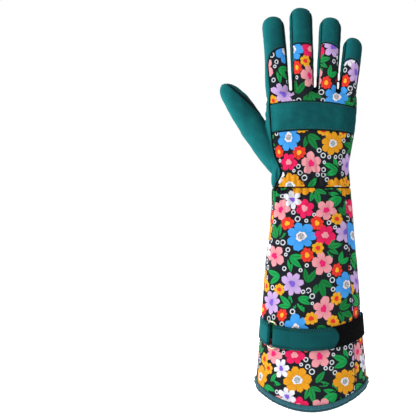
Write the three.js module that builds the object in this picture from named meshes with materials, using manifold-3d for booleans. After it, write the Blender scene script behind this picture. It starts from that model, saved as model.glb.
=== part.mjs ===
// A long gauntlet for pruning roses, for the right hand: a teal suede hand whose back is
// printed cloth, sewn to a long printed cuff that widens to a bound mouth, with a strap
// that runs through a metal ring and closes on itself.
// Millimetres, +Z up along the fingers, -Y out of the back of the hand, -X at the thumb.
// The origin is the middle of the cuff's mouth, level with the lowest point of the hem.

import * as THREE from 'three';
import { mergeVertices } from 'three/addons/utils/BufferGeometryUtils.js';
import Module from 'manifold-3d';

const wasm = await Module();
wasm.setup();

// Cloth and seams
const CLOTH = 2.0;            // wall of the hand and of the cuff
const GAP = 0.3;              // clearance between neighbouring pieces
const SEAM_RISE = 4.0;        // how far the back panels stop short of the hand's middle plane

// Hand
const PALM_LENGTH = 103.4;    // wrist seam to the forks between the fingers
const PALM_WIDTH = 99.0;
const PALM_DEPTH = 34.0;
const WRIST_WIDTH = 83.4;
const WRIST_DEPTH = 46.0;
const FINGER_CURL = 7.0;      // how far the tallest fingertip leans towards the palm
const TIP_ROUND = 12.0;       // length of a fingertip's rounded end
const HAND_TURN = 6.0;        // degrees that the hand is turned on the cuff, thumb side forward

// Fingers: lengths from the forks, widths across the back, leans in degrees
const FINGERS = {
  index: { length: 80.6, width: 24.6, depth: 21.5, lean: -5.0, seat: -0.705 },
  middle: { length: 91.3, width: 25.8, depth: 22.0, lean: -1.4, seat: -0.186 },
  ring: { length: 81.6, width: 24.6, depth: 21.0, lean: 3.8, seat: 0.325 },
  little: { length: 60.0, width: 21.6, depth: 18.5, lean: 7.3, seat: 0.785 },
};

// Thumb
const THUMB_REACH = 97.0;     // from the hand's middle plane out to the tip, along -X
const THUMB_RISE = 110.5;     // from the wrist seam up to the tip
const THUMB_WIDTH = 34.0;     // at its root
const THUMB_DEPTH = 29.0;
const THUMB_FORWARD = 19.0;   // how far the tip lies towards the palm
const THUMB_SEAM = 3.5;       // how far behind its middle surface its seams lie

// Cuff
const CUFF_LENGTH = 227.6;    // lowest point of the hem to the wrist seam
const MOUTH_WIDTH = 121.4;
const MOUTH_DEPTH = 88.0;
const HEM_DROP = 18.0;        // how far the hem's front and back hang below its sides
const GATHERS = 12;           // gathers where the cuff is sewn to the hand
const GATHER_DEPTH = 1.1;

// Hem binding
const BINDING_HEIGHT = 7.0;
const BINDING_CLOTH = 1.2;

// Strap, ring and tab
const STRAP_WIDTH = 22.0;
const STRAP_CLOTH = 1.2;
const STRAP_HEIGHT = 81.0;    // middle line of the strap at the cuff's sides
const STRAP_RISE = 1.5;       // how much higher it runs at the little finger's side
const STRAP_SAG = 8.7;        // how far its middle hangs below its ends
const RING_WIRE = 2.0;
const RING_LENGTH = 29.0;
const RING_GAP = 6.6;         // between the ring's two long bars
const RING_BEND = 2.6;         // height of the bend at either end of the ring

// Pads and patches
const PAD_CLOTH = 1.6;
const BAND_PAD = 1.4;         // how far the knuckle band's padding stands out

// Numbers of facets
const FINGER_SIDES = 14;
const PALM_SIDES = 32;
const CUFF_SIDES = 48;
const DEGREE = Math.PI / 180;

const lerp = THREE.MathUtils.lerp;

// Reads a table of stations at a share of its length, with straight runs between the rows.
function station(table, along, column) {
  const key = 'along';
  let row = 0;
  while (row < table.length - 2 && along > table[row + 1][key]) row += 1;
  const low = table[row];
  const high = table[row + 1];
  const share = (along - low[key]) / (high[key] - low[key]);
  return lerp(low[column], high[column], THREE.MathUtils.clamp(share, 0, 1));
}

// Geometry and solids

function solidOf(geometry) {
  const bare = geometry.index ? geometry.toNonIndexed() : geometry.clone();
  bare.deleteAttribute('normal');
  bare.deleteAttribute('uv');
  const merged = mergeVertices(bare, 1e-4);
  return new wasm.Manifold(new wasm.Mesh({
    numProp: 3,
    vertProperties: new Float32Array(merged.attributes.position.array),
    triVerts: new Uint32Array(merged.index.array),
  }));
}

function geometryOf(solid) {
  const mesh = solid.getMesh();
  const geometry = new THREE.BufferGeometry();
  const count = mesh.numProp;
  const places = new Float32Array((mesh.vertProperties.length / count) * 3);
  for (let i = 0; i < places.length / 3; i += 1) {
    for (let axis = 0; axis < 3; axis += 1) {
      places[3 * i + axis] = mesh.vertProperties[count * i + axis];
    }
  }
  geometry.setAttribute('position', new THREE.BufferAttribute(places, 3));
  geometry.setIndex(new THREE.BufferAttribute(new Uint32Array(mesh.triVerts), 1));
  geometry.computeVertexNormals();
  return geometry;
}

// A closed skin through rings of points, each with the same number of points, that turn
// anticlockwise as seen from the last ring.
function loft(rings) {
  const sides = rings[0].length;
  const places = [];
  const faces = [];
  rings.forEach((points) => points.forEach((p) => places.push(p.x, p.y, p.z)));
  for (let row = 0; row < rings.length - 1; row += 1) {
    for (let k = 0; k < sides; k += 1) {
      const a = row * sides + k;
      const b = row * sides + ((k + 1) % sides);
      faces.push(a, b, b + sides, a, b + sides, a + sides);
    }
  }
  for (const [row, facing] of [[0, -1], [rings.length - 1, 1]]) {
    const middle = new THREE.Vector3();
    rings[row].forEach((p) => middle.addScaledVector(p, 1 / sides));
    const centre = places.length / 3;
    places.push(middle.x, middle.y, middle.z);
    for (let k = 0; k < sides; k += 1) {
      const a = row * sides + k;
      const b = row * sides + ((k + 1) % sides);
      faces.push(...(facing > 0 ? [a, b, centre] : [b, a, centre]));
    }
  }
  const geometry = new THREE.BufferGeometry();
  geometry.setAttribute('position', new THREE.Float32BufferAttribute(places, 3));
  geometry.setIndex(faces);
  return geometry;
}

// A rounded oblong ring about a centre, in the plane of two unit vectors.
function oblong(centre, right, deep, halfWidth, halfDepth, squareness, sides) {
  const points = [];
  for (let k = 0; k < sides; k += 1) {
    const angle = (2 * Math.PI * k) / sides;
    const c = Math.cos(angle);
    const s = Math.sin(angle);
    const across = halfWidth * Math.sign(c) * Math.abs(c) ** (2 / squareness);
    const through = halfDepth * Math.sign(s) * Math.abs(s) ** (2 / squareness);
    points.push(centre.clone().addScaledVector(right, across).addScaledVector(deep, through));
  }
  return points;
}

// A block with the given outline in X and Z, between two depths.
function prism(outline, front, back) {
  const points = outline.map(([x, z]) => new THREE.Vector2(x, z));
  if (THREE.ShapeUtils.area(points) < 0) points.reverse();
  const shape = new THREE.Shape(points);
  const geometry = new THREE.ExtrudeGeometry(shape, {
    depth: back - front, bevelEnabled: false, curveSegments: 1,
  });
  geometry.rotateX(Math.PI / 2);
  geometry.translate(0, back, 0);
  return solidOf(geometry);
}

const FAR = 200;              // beyond every piece of the hand
const through = (outline) => prism(outline, -FAR, FAR);

function allOf(solids) {
  return solids.reduce((whole, part) => whole.add(part));
}

// The main body of a cut piece, without the slivers that a slanting cut leaves beside it.
function mainBody(solid) {
  return solid.decompose().reduce((most, part) => (part.volume() > most.volume() ? part : most));
}

// The hand, in its own frame: its wrist seam at z = 0

const HALF_PALM = PALM_WIDTH / 2;

// Sections of the palm from the wrist up: width and depth as shares of the palm's, with
// the wrist's own sizes mixed in by the share in the last column.
const PALM_SECTIONS = [
  { along: -0.04, wide: 0.84, deep: 1.00, wrist: 1.0, aside: -0.004 },
  { along: 0.00, wide: 0.84, deep: 1.00, wrist: 1.0, aside: -0.004 },
  { along: 0.12, wide: 0.85, deep: 1.24, wrist: 0.7, aside: -0.008 },
  { along: 0.22, wide: 0.83, deep: 1.12, wrist: 0.0, aside: -0.010 },
  { along: 0.50, wide: 0.925, deep: 1.07, wrist: 0.0, aside: -0.008 },
  { along: 0.75, wide: 0.985, deep: 1.00, wrist: 0.0, aside: -0.002 },
  { along: 0.90, wide: 0.975, deep: 0.88, wrist: 0.0, aside: 0.008 },
  { along: 0.97, wide: 0.95, deep: 0.66, wrist: 0.0, aside: 0.008 },
  { along: 1.00, wide: 0.88, deep: 0.36, wrist: 0.0, aside: 0.006 },
];
const PALM_SQUARENESS = 2.5;

// The middle surface of the hand curls towards the palm above the forks.
function curlAt(z) {
  const above = Math.max(0, z - PALM_LENGTH) / FINGERS.middle.length;
  return FINGER_CURL * above * above;
}

function palmSolid(inset) {
  const rings = PALM_SECTIONS.map((row) => {
    const width = lerp(PALM_WIDTH * row.wide, WRIST_WIDTH, row.wrist);
    const depth = lerp(PALM_DEPTH * row.deep, WRIST_DEPTH, row.wrist);
    const below = row.along < 0 ? inset : 0;
    const centre = new THREE.Vector3(
      PALM_WIDTH * row.aside, 0, PALM_LENGTH * row.along - below,
    );
    if (row.along > 0.95) centre.z -= inset;
    return oblong(
      centre, new THREE.Vector3(1, 0, 0), new THREE.Vector3(0, 1, 0),
      width / 2 - inset, Math.max(depth / 2 - inset, 1), PALM_SQUARENESS, PALM_SIDES,
    );
  });
  return solidOf(loft(rings));
}

// Stations of a finger, as shares of its length, width and depth.
const FINGER_SECTIONS = [
  { along: -0.26, wide: 0.94, deep: 0.94 },
  { along: 0.00, wide: 0.95, deep: 1.04 },
  { along: 0.34, wide: 1.01, deep: 0.97 },
  { along: 0.70, wide: 0.97, deep: 0.88 },
];
const TIP_STEPS = 3;
const TIP_SQUARENESS = 2.3;
const BURIED = 0.16;          // how much deeper a finger's hollow reaches into the palm's

const fingerX = (finger, z) => (
  finger.seat * HALF_PALM + (z - PALM_LENGTH) * Math.tan(finger.lean * DEGREE)
);

function fingerSolid(finger, inset) {
  const lean = finger.lean * DEGREE;
  const at = (along) => {
    const z = PALM_LENGTH + finger.length * along * Math.cos(lean);
    return new THREE.Vector3(fingerX(finger, z), curlAt(z), z);
  };
  const rings = [];
  const ring = (along, wide, deep) => {
    const centre = at(along);
    const up = at(along + 0.01).sub(at(along - 0.01)).normalize();
    const right = new THREE.Vector3(0, 1, 0).cross(up).normalize();
    rings.push(oblong(
      centre, right, up.clone().cross(right),
      Math.max((finger.width / 2) * wide - inset, 0.05),
      Math.max((finger.depth / 2) * deep - inset, 0.05),
      TIP_SQUARENESS, FINGER_SIDES,
    ));
  };
  const round = (TIP_ROUND - inset) / finger.length;
  const dome = 1 - TIP_ROUND / finger.length;
  const last = FINGER_SECTIONS[FINGER_SECTIONS.length - 1];
  FINGER_SECTIONS.forEach((row, number) => {
    const deeper = number === 0 && inset > 0 ? BURIED : 0;
    ring(row.along - deeper, row.wide, row.deep);
  });
  for (let step = 0; step <= TIP_STEPS; step += 1) {
    const angle = (step / TIP_STEPS) * 88 * DEGREE;
    const wide = (finger.width / 2) * last.wide - inset;
    const deep = (finger.depth / 2) * last.deep - inset;
    const shrink = Math.cos(angle) ** 0.9;
    ring(
      dome + round * Math.sin(angle),
      (wide * shrink + inset) / (finger.width / 2),
      (deep * shrink + inset) / (finger.depth / 2),
    );
  }
  return solidOf(loft(rings));
}

// Stations of the thumb from deep in the palm to its tip: places as shares of its reach,
// rise and forward set, sizes as shares of its width and depth.
const THUMB_SECTIONS = [
  { out: 0.10, up: 0.02, forward: 0.05, wide: 0.62, deep: 0.70 },
  { out: 0.24, up: 0.12, forward: 0.14, wide: 0.76, deep: 0.92 },
  { out: 0.37, up: 0.27, forward: 0.26, wide: 0.90, deep: 1.04 },
  { out: 0.50, up: 0.43, forward: 0.40, wide: 0.98, deep: 1.03 },
  { out: 0.615, up: 0.59, forward: 0.55, wide: 1.00, deep: 0.97 },
  { out: 0.72, up: 0.72, forward: 0.68, wide: 0.92, deep: 0.90 },
  { out: 0.825, up: 0.845, forward: 0.80, wide: 0.78, deep: 0.82 },
  { out: 0.90, up: 0.925, forward: 0.89, wide: 0.64, deep: 0.74 },
  { out: 0.955, up: 0.972, forward: 0.95, wide: 0.46, deep: 0.56 },
  { out: 0.99, up: 0.996, forward: 0.99, wide: 0.22, deep: 0.28 },
  { out: 1.00, up: 1.00, forward: 1.00, wide: 0.05, deep: 0.06 },
];

function thumbSolid(inset) {
  const place = (row) => new THREE.Vector3(
    -THUMB_REACH * row.out, THUMB_FORWARD * row.forward, THUMB_RISE * row.up,
  );
  const last = THUMB_SECTIONS.length - 1;
  const rings = THUMB_SECTIONS.map((row, number) => {
    const ahead = place(THUMB_SECTIONS[Math.min(number + 1, last)]);
    const behind = place(THUMB_SECTIONS[Math.max(number - 1, 0)]);
    const up = ahead.sub(behind).normalize();
    const right = new THREE.Vector3(0, 1, 0).cross(up).normalize();
    const centre = place(row);
    const nearTip = Math.max(0, row.out - 0.8) / 0.2;
    centre.addScaledVector(up, -inset * nearTip);
    const halfWidth = (THUMB_WIDTH / 2) * row.wide;
    const halfDepth = (THUMB_DEPTH / 2) * row.deep;
    return oblong(
      centre, right, up.clone().cross(right),
      Math.max(halfWidth - inset, 0.04 + halfWidth * 0.1),
      Math.max(halfDepth - inset, 0.04 + halfDepth * 0.1),
      TIP_SQUARENESS, FINGER_SIDES,
    );
  });
  return solidOf(loft(rings));
}

function handSolid(inset) {
  const fingers = Object.values(FINGERS).map((finger) => fingerSolid(finger, inset));
  return allOf([palmSolid(inset), thumbSolid(inset), ...fingers]);
}

const belowWrist = through([
  [-FAR, -FAR], [FAR, -FAR], [FAR, GAP / 2], [-FAR, GAP / 2],
]);
const outer = handSolid(0);
const shell = outer.subtract(handSolid(CLOTH)).subtract(belowWrist);

// Everything of the hand in front of its middle surface, moved by the given distance.
function frontOf(shift) {
  const profile = [[-FAR, -FAR], [shift, -FAR], [shift, PALM_LENGTH]];
  const top = PALM_LENGTH + FINGERS.middle.length + TIP_ROUND;
  for (let step = 1; step <= 4; step += 1) {
    const z = lerp(PALM_LENGTH, top, step / 4);
    profile.push([curlAt(z) + shift, z]);
  }
  profile.push([-FAR, top]);
  const shape = new THREE.Shape(profile.map(([y, z]) => new THREE.Vector2(y, z)));
  const geometry = new THREE.ExtrudeGeometry(shape, { depth: 2 * FAR, bevelEnabled: false });
  geometry.applyMatrix4(new THREE.Matrix4().set(
    0, 0, 1, -FAR,
    1, 0, 0, 0,
    0, 1, 0, 0,
    0, 0, 0, 1,
  ));
  return solidOf(geometry);
}

// Seams of the back, as shares of half the palm's width and of the palm's length.
const THUMB_SIDE_SEAM = [
  { along: -0.05, side: -0.81 },
  { along: 0.01, side: -0.80 },
  { along: 0.07, side: -0.74 },
  { along: 0.14, side: -0.67 },
  { along: 0.21, side: -0.70 },
  { along: 0.30, side: -0.78 },
  { along: 0.41, side: -0.84 },
  { along: 0.56, side: -0.88 },
  { along: 0.70, side: -0.90 },
  { along: 0.90, side: -0.92 },
];
const SIDE_SEAM = 0.80;       // a finger's seams, as a share of half its width
const sideX = (finger, side, z) => fingerX(finger, z) + side * SIDE_SEAM * (finger.width / 2);
const fingerTop = (finger) => PALM_LENGTH + finger.length;

function thumbSideLine(shift) {
  return THUMB_SIDE_SEAM.map((row) => [
    HALF_PALM * row.side + shift, PALM_LENGTH * row.along,
  ]);
}

// The knuckle band's edges bow up in the middle.
const BAND_LOW = 0.583;       // shares of the palm's length, in the middle of the band
const BAND_HIGH = 0.880;
const BAND_BOW = 3.8;
const BAND_DIP = 2.0;         // how much lower its top edge ends at the little finger
function bandLine(share, dip, shift) {
  const points = [];
  for (let step = 0; step <= 8; step += 1) {
    const across = -1.15 + 2.3 * (step / 8);
    const drop = BAND_BOW * across * across + dip * Math.max(0, across);
    points.push([across * HALF_PALM, PALM_LENGTH * share - drop + shift]);
  }
  return points;
}

const { index, middle, ring: ringFinger, little } = FINGERS;

// Where each printed prong ends on its finger: shares of the finger's length at the
// thumb's side, in the middle and at the little finger's side.
const PRONG_ROOT = 6.0;       // how far the prongs reach down past the forks
const PRONG_TOPS = {
  index: [0.33, 0.50, 0.585],
  middle: [0.565, 0.578, 0.562],
  ring: [0.635, 0.632, 0.60],
  little: [0.53, 0.60, 0.50],
};

function prongOutline(name, grow) {
  const finger = FINGERS[name];
  const [left, mid, right] = PRONG_TOPS[name].map(
    (share) => PALM_LENGTH + finger.length * share + grow,
  );
  const root = PALM_LENGTH - PRONG_ROOT;
  return [
    [sideX(finger, -1, root) - grow, root],
    [sideX(finger, 1, root) + grow, root],
    [sideX(finger, 1, right) + grow, right],
    [lerp(fingerX(finger, mid), sideX(finger, 1, mid), 0.55), lerp(mid, right, 0.38)],
    [fingerX(finger, mid), mid],
    [lerp(fingerX(finger, mid), sideX(finger, -1, mid), 0.55), lerp(mid, left, 0.38)],
    [sideX(finger, -1, left) - grow, left],
  ];
}

// The strips between two fingers reach from one seam to the other across the fork.
const FORK_NOTCH = 5.0;
function forkOutline(first, second, grow) {
  const low = PALM_LENGTH + 1;
  const tops = [fingerTop(first) + TIP_ROUND, fingerTop(second) + TIP_ROUND];
  const bottom = (sideX(first, 1, low) + sideX(second, -1, low)) / 2;
  return [
    [bottom, low - FORK_NOTCH - grow],
    [sideX(second, -1, low) + grow, low],
    [sideX(second, -1, tops[1]) + grow, tops[1]],
    [sideX(first, 1, tops[0]) - grow, tops[0]],
    [sideX(first, 1, low) - grow, low],
  ];
}

const forks = [[index, middle], [middle, ringFinger], [ringFinger, little]];
const forkCut = (pair, grow) => through(forkOutline(pair[0], pair[1], grow));
const allForks = allOf(forks.map((pair) => forkCut(pair, GAP)));

const front = frontOf(-SEAM_RISE);
const frontWide = frontOf(-SEAM_RISE + GAP);

// The printed panel over the fingers' roots, with a prong up each finger.
function fingerPanelCut(grow) {
  const left = [[-HALF_PALM * 0.92 - grow, PALM_LENGTH * 0.80]];
  const base = through([
    ...left,
    [FAR, PALM_LENGTH * 0.80],
    [FAR, PALM_LENGTH * 0.96],
    [sideX(little, 1, PALM_LENGTH) + grow, PALM_LENGTH * 0.99],
    [sideX(index, -1, PALM_LENGTH) - grow, PALM_LENGTH * 0.99],
  ]);
  const prongs = Object.keys(FINGERS).map((name) => through(prongOutline(name, grow)));
  return allOf([base, ...prongs]);
}

const bandTop = bandLine(BAND_HIGH, BAND_DIP, 0);
const bandFoot = bandLine(BAND_LOW, 0, 0);
const bandCut = (grow) => through([
  ...bandLine(BAND_LOW, 0, -grow),
  ...bandLine(BAND_HIGH, BAND_DIP, grow).reverse(),
]);
const aboveBand = through([...bandLine(BAND_HIGH, BAND_DIP, GAP), [FAR, FAR * 2], [-FAR, FAR * 2]]);
const belowBand = through([[-FAR, -FAR], [FAR, -FAR], ...bandLine(BAND_LOW, 0, -GAP).reverse()]);

// Everything on the little finger's side of the seam beside the thumb.
const rightOfSeam = (shift) => through([
  ...thumbSideLine(shift),
  [-HALF_PALM * 0.92 + shift, PALM_LENGTH * 1.02],
  [FAR, PALM_LENGTH * 1.02],
  [FAR, -PALM_LENGTH * 0.05],
]);

const fingerPanel = shell.intersect(front).intersect(fingerPanelCut(0))
  .intersect(aboveBand).subtract(allForks);
const backPanel = shell.intersect(front).intersect(rightOfSeam(0)).intersect(belowBand);

// The knuckle band is padded, so it stands out from the hand.
const padded = outer.add(palmSolid(-BAND_PAD)).subtract(palmSolid(CLOTH))
  .subtract(handSolid(CLOTH));
const knuckleBand = padded.intersect(front).intersect(rightOfSeam(0)).intersect(bandCut(0));

// What the three back panels leave of the shell.
const backCut = allOf([
  frontWide.intersect(fingerPanelCut(GAP)).intersect(
    through([...bandTop, [FAR, FAR * 2], [-FAR, FAR * 2]]),
  ),
  frontWide.intersect(rightOfSeam(-GAP)).intersect(
    through([[-FAR, -FAR], [FAR, -FAR], ...bandTop.slice().reverse()]),
  ),
]);
let rest = shell.subtract(backCut);

// Takes a piece out of what is left of the shell, and leaves a gap round it.
function take(cut, wideCut) {
  const piece = rest.intersect(cut);
  rest = rest.subtract(wideCut);
  return piece;
}

const forkStrips = forks.map((pair) => take(forkCut(pair, 0), forkCut(pair, GAP)));

// Patches on the palm side of the fingertips, between their seams.
function tipPatch(finger, share, wrap) {
  const z = PALM_LENGTH + finger.length * share;
  const top = fingerTop(finger) + TIP_ROUND;
  const outline = (grow) => [
    [sideX(finger, -1 - wrap, z) - grow, z - grow],
    [sideX(finger, 1, z) + grow, z - grow],
    [sideX(finger, 1, top) + grow, top],
    [sideX(finger, -1 - wrap, top) - grow, top],
  ];
  const behind = (grow) => through(outline(grow)).subtract(frontOf(-grow));
  return take(behind(0), behind(GAP));
}
const PATCH_FROM = { index: 0.70, middle: 0.70, ring: 0.60, little: 0.60 };
const touchIndex = tipPatch(index, PATCH_FROM.index, 0.6);
const touchMiddle = tipPatch(middle, PATCH_FROM.middle, 0);
const patchRing = tipPatch(ringFinger, PATCH_FROM.ring, 0);
const patchLittle = tipPatch(little, PATCH_FROM.little, 0);

// Caps over the back of the middle and ring fingertips.
function tipCap(finger) {
  const z = PALM_LENGTH + finger.length * 0.4;
  const top = fingerTop(finger) + TIP_ROUND;
  const outline = [
    [sideX(finger, -1, z), z], [sideX(finger, 1, z), z],
    [sideX(finger, 1, top), top], [sideX(finger, -1, top), top],
  ];
  const cut = (shift) => through(outline).intersect(frontOf(shift));
  return take(cut(-GAP), cut(0));
}
const capMiddle = tipCap(middle);
const capRing = tipCap(ringFinger);

// The little finger's cap runs on down its outer side.
function littleCapCut(shift) {
  const top = fingerTop(little) + TIP_ROUND;
  const foot = PALM_LENGTH + 2 - shift;
  return through([
    [sideX(little, -1, foot), foot], [FAR, foot], [FAR, top], [sideX(little, -1, top), top],
  ]).intersect(frontOf(shift));
}
const capLittle = take(littleCapCut(-GAP), littleCapCut(0));

// The thumb's middle surface, sheared so that it follows the thumb towards the palm.
function thumbFront(outline, shift) {
  const geometry = new THREE.ExtrudeGeometry(
    new THREE.Shape(outline.map(([x, z]) => new THREE.Vector2(x, z))),
    { depth: FAR, bevelEnabled: false },
  );
  geometry.rotateX(Math.PI / 2);
  geometry.applyMatrix4(new THREE.Matrix4().set(
    1, 0, 0, 0,
    -THUMB_FORWARD / THUMB_REACH, 1, 0, shift + THUMB_SEAM,
    0, 0, 1, 0,
    0, 0, 0, 1,
  ));
  return solidOf(geometry);
}

// Outline of the thumb's palm side seam: shares of the thumb's reach and rise.
const THUMB_PALM_SEAM = [
  { out: 0.235, up: -0.05 },
  { out: 0.245, up: 0.06 },
  { out: 0.285, up: 0.18 },
  { out: 0.36, up: 0.30 },
  { out: 0.49, up: 0.45 },
  { out: 0.63, up: 0.62 },
  { out: 0.78, up: 0.80 },
  { out: 0.90, up: 0.93 },
  { out: 1.02, up: 1.06 },
];
const thumbPalmLine = (shift) => THUMB_PALM_SEAM.map((row) => [
  -THUMB_REACH * row.out + shift, THUMB_RISE * row.up - shift,
]);

// The thumb's touch patch, on its palm side near the tip.
const TOUCH_LENGTH = 28.0;
function thumbTouchCut(grow) {
  const tip = THUMB_SECTIONS[THUMB_SECTIONS.length - 1];
  const root = THUMB_SECTIONS[3];
  const along = new THREE.Vector2(
    -THUMB_REACH * (tip.out - root.out), THUMB_RISE * (tip.up - root.up),
  ).normalize();
  const across = new THREE.Vector2(along.y, -along.x);
  const end = new THREE.Vector2(-THUMB_REACH * tip.out, THUMB_RISE * tip.up);
  const corner = (back, side) => end.clone()
    .addScaledVector(along, -back).addScaledVector(across, side).toArray();
  const low = -THUMB_WIDTH * 0.20 - grow;
  return through([
    corner(TOUCH_LENGTH + grow, low), corner(TOUCH_LENGTH + grow, THUMB_WIDTH),
    corner(-TIP_ROUND, THUMB_WIDTH), corner(-TIP_ROUND, low),
  ]).subtract(thumbFront([[-FAR, -FAR], [FAR, -FAR], [FAR, FAR], [-FAR, FAR]], -grow));
}
const touchThumb = take(thumbTouchCut(0), thumbTouchCut(GAP));

// The panel on the thumb's side: the thumb's back and outer side, the hand's edge, and the
// index finger's outer side and tip.
function thumbPanelCut(shift) {
  const wrap = through([
    [-FAR, -FAR], [-THUMB_REACH * 0.235 + shift, -FAR], ...thumbPalmLine(shift), [-FAR, FAR],
  ]);
  const back = thumbFront(
    [[-FAR, -FAR], [-HALF_PALM * 0.55, -FAR], [-HALF_PALM * 0.55, PALM_LENGTH * 0.39],
      [-HALF_PALM * 0.99, PALM_LENGTH * 0.72], [-FAR, FAR]],
    shift,
  );
  const top = fingerTop(index) + TIP_ROUND;
  const edge = through([
    [-FAR, 0], [-HALF_PALM * 0.3, 0], [-HALF_PALM * 0.3, PALM_LENGTH],
    [sideX(index, 1, PALM_LENGTH), PALM_LENGTH], [sideX(index, 1, top), top], [-FAR, top],
  ]).intersect(frontOf(shift));
  return allOf([wrap, back, edge]);
}
const thumbPanel = take(thumbPanelCut(-GAP), thumbPanelCut(0));
const palmPanel = rest;

// Foam pads sewn on the palm: shares of half the palm's width and of the palm's length.
const PADS = {
  palm_pad_upper: [
    [-0.62, 0.83], [-0.30, 0.93], [0.05, 0.955], [0.42, 0.91], [0.70, 0.80],
    [0.66, 0.755], [0.30, 0.775], [-0.05, 0.815], [-0.35, 0.82],
  ],
  palm_pad_middle: [
    [-0.36, 0.675], [-0.24, 0.715], [0.02, 0.705], [0.07, 0.67], [0.055, 0.42],
    [0.02, 0.405], [-0.06, 0.44], [-0.26, 0.575],
  ],
  palm_pad_outer: [
    [0.17, 0.69], [0.46, 0.665], [0.66, 0.585], [0.72, 0.46], [0.66, 0.33],
    [0.50, 0.245], [0.20, 0.23], [0.16, 0.30],
  ],
  palm_pad_heel: [
    [-0.42, 0.56], [-0.30, 0.47], [-0.02, 0.33], [0.06, 0.295], [0.07, 0.225],
    [-0.12, 0.235], [-0.26, 0.32], [-0.38, 0.44],
  ],
};
const padSkin = palmSolid(-GAP - PAD_CLOTH).subtract(palmSolid(-GAP))
  .subtract(thumbSolid(-GAP)).subtract(frontOf(SEAM_RISE));
const pads = Object.entries(PADS).map(([name, outline]) => [
  name,
  padSkin.intersect(through(outline.map(([side, along]) => [
    side * HALF_PALM, along * PALM_LENGTH,
  ]))),
]);

// The cuff: a cone of cloth whose top is gathered into the wrist seam

const CUFF_TOP = CUFF_LENGTH - GAP / 2;
const CUFF_SECTIONS = [
  { along: 0.00, flare: 1.00, round: 1.00, turn: 0.0 },
  { along: 0.30, flare: 0.72, round: 0.74, turn: 0.1 },
  { along: 0.60, flare: 0.42, round: 0.46, turn: 0.4 },
  { along: 0.85, flare: 0.13, round: 0.16, turn: 0.8 },
  { along: 1.00, flare: 0.00, round: 0.00, turn: 1.0 },
];

const hemHeight = (angle) => HEM_DROP * Math.cos(angle) ** 2;

// A point of the cuff's cloth: an angle round it from +X towards the back, a share of the
// way up from the hem, and a distance out from the cloth's outer face.
function cuffPoint(angle, share, out) {
  const z = lerp(hemHeight(angle), CUFF_TOP, share);
  const along = z / CUFF_TOP;
  const flare = station(CUFF_SECTIONS, along, 'flare');
  const round = station(CUFF_SECTIONS, along, 'round');
  const turn = station(CUFF_SECTIONS, along, 'turn') * HAND_TURN * DEGREE;
  const near = Math.max(0, 1 - (CUFF_TOP - z) / (CUFF_TOP * 0.16));
  const gather = GATHER_DEPTH * near * near * Math.cos(GATHERS * angle);
  const halfWidth = lerp(WRIST_WIDTH, MOUTH_WIDTH, flare) / 2 + out + gather;
  const halfDepth = lerp(WRIST_DEPTH, MOUTH_DEPTH, round) / 2 + out + gather;
  const square = 2 / lerp(PALM_SQUARENESS, 2, round);
  const c = Math.cos(angle);
  const s = Math.sin(angle);
  const x = halfWidth * Math.sign(c) * Math.abs(c) ** square;
  const y = halfDepth * Math.sign(s) * Math.abs(s) ** square;
  return new THREE.Vector3(
    x * Math.cos(turn) - y * Math.sin(turn),
    x * Math.sin(turn) + y * Math.cos(turn),
    z,
  );
}

// Closes a strip of profiles, each the same closed outline, into one body. With wrap the
// last profile meets the first, and otherwise each end is capped by a fan.
function sweep(profiles, wrap) {
  const count = profiles[0].length;
  const places = profiles.flat().flatMap((p) => [p.x, p.y, p.z]);
  const faces = [];
  const runs = wrap ? profiles.length : profiles.length - 1;
  for (let i = 0; i < runs; i += 1) {
    for (let k = 0; k < count; k += 1) {
      const a = i * count + k;
      const b = i * count + ((k + 1) % count);
      const c = ((i + 1) % profiles.length) * count + ((k + 1) % count);
      const d = ((i + 1) % profiles.length) * count + k;
      faces.push(a, b, c, a, c, d);
    }
  }
  if (!wrap) {
    for (let k = 1; k < count - 1; k += 1) {
      const end = (profiles.length - 1) * count;
      faces.push(0, k + 1, k, end, end + k, end + k + 1);
    }
  }
  const geometry = new THREE.BufferGeometry();
  geometry.setAttribute('position', new THREE.Float32BufferAttribute(places, 3));
  geometry.setIndex(faces);
  return geometry;
}

function facingOut(geometry) {
  if (solidOf(geometry).volume() < 0) {
    const faces = geometry.index.array;
    for (let i = 0; i < faces.length; i += 3) {
      [faces[i + 1], faces[i + 2]] = [faces[i + 2], faces[i + 1]];
    }
  }
  geometry.computeVertexNormals();
  return geometry;
}

const CUFF_ROWS = [0, 0.05, 0.27, 0.54, 0.80, 0.89, 0.95, 1];

function cuffAngles(count) {
  return Array.from({ length: count }, (_, k) => (2 * Math.PI * k) / count);
}

function cuffSleeve() {
  const rise = (angle) => (BINDING_CLOTH + GAP) / (CUFF_TOP - hemHeight(angle));
  const profiles = cuffAngles(CUFF_SIDES).map((angle) => {
    const share = (row) => lerp(rise(angle), 1, row);
    const outside = CUFF_ROWS.map((row) => cuffPoint(angle, share(row), 0));
    const inside = CUFF_ROWS.map((row) => cuffPoint(angle, share(row), -CLOTH));
    return [...outside, ...inside.reverse()];
  });
  return facingOut(sweep(profiles, true));
}

function hemBinding() {
  const profiles = cuffAngles(CUFF_SIDES).map((angle) => {
    const tall = CUFF_TOP - hemHeight(angle);
    const low = BINDING_CLOTH / tall;
    const high = BINDING_HEIGHT / tall;
    const outer = GAP + BINDING_CLOTH;
    return [
      cuffPoint(angle, high, outer), cuffPoint(angle, high, GAP),
      cuffPoint(angle, low, GAP), cuffPoint(angle, low, -CLOTH - GAP),
      cuffPoint(angle, high, -CLOTH - GAP), cuffPoint(angle, high, -CLOTH - outer),
      cuffPoint(angle, 0, -CLOTH - outer), cuffPoint(angle, 0, outer),
    ];
  });
  return facingOut(sweep(profiles, true));
}

// The strap: angles round the cuff where its parts end, in degrees from +X
const ULNAR_END = 372;        // behind the little finger's side
const RING_ANGLE = 225.5;     // the ring, on the thumb's side of the front
const TONGUE_END = 297.3;     // the rounded end of the strap
const TAB_END = 166;          // behind the thumb's side

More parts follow.
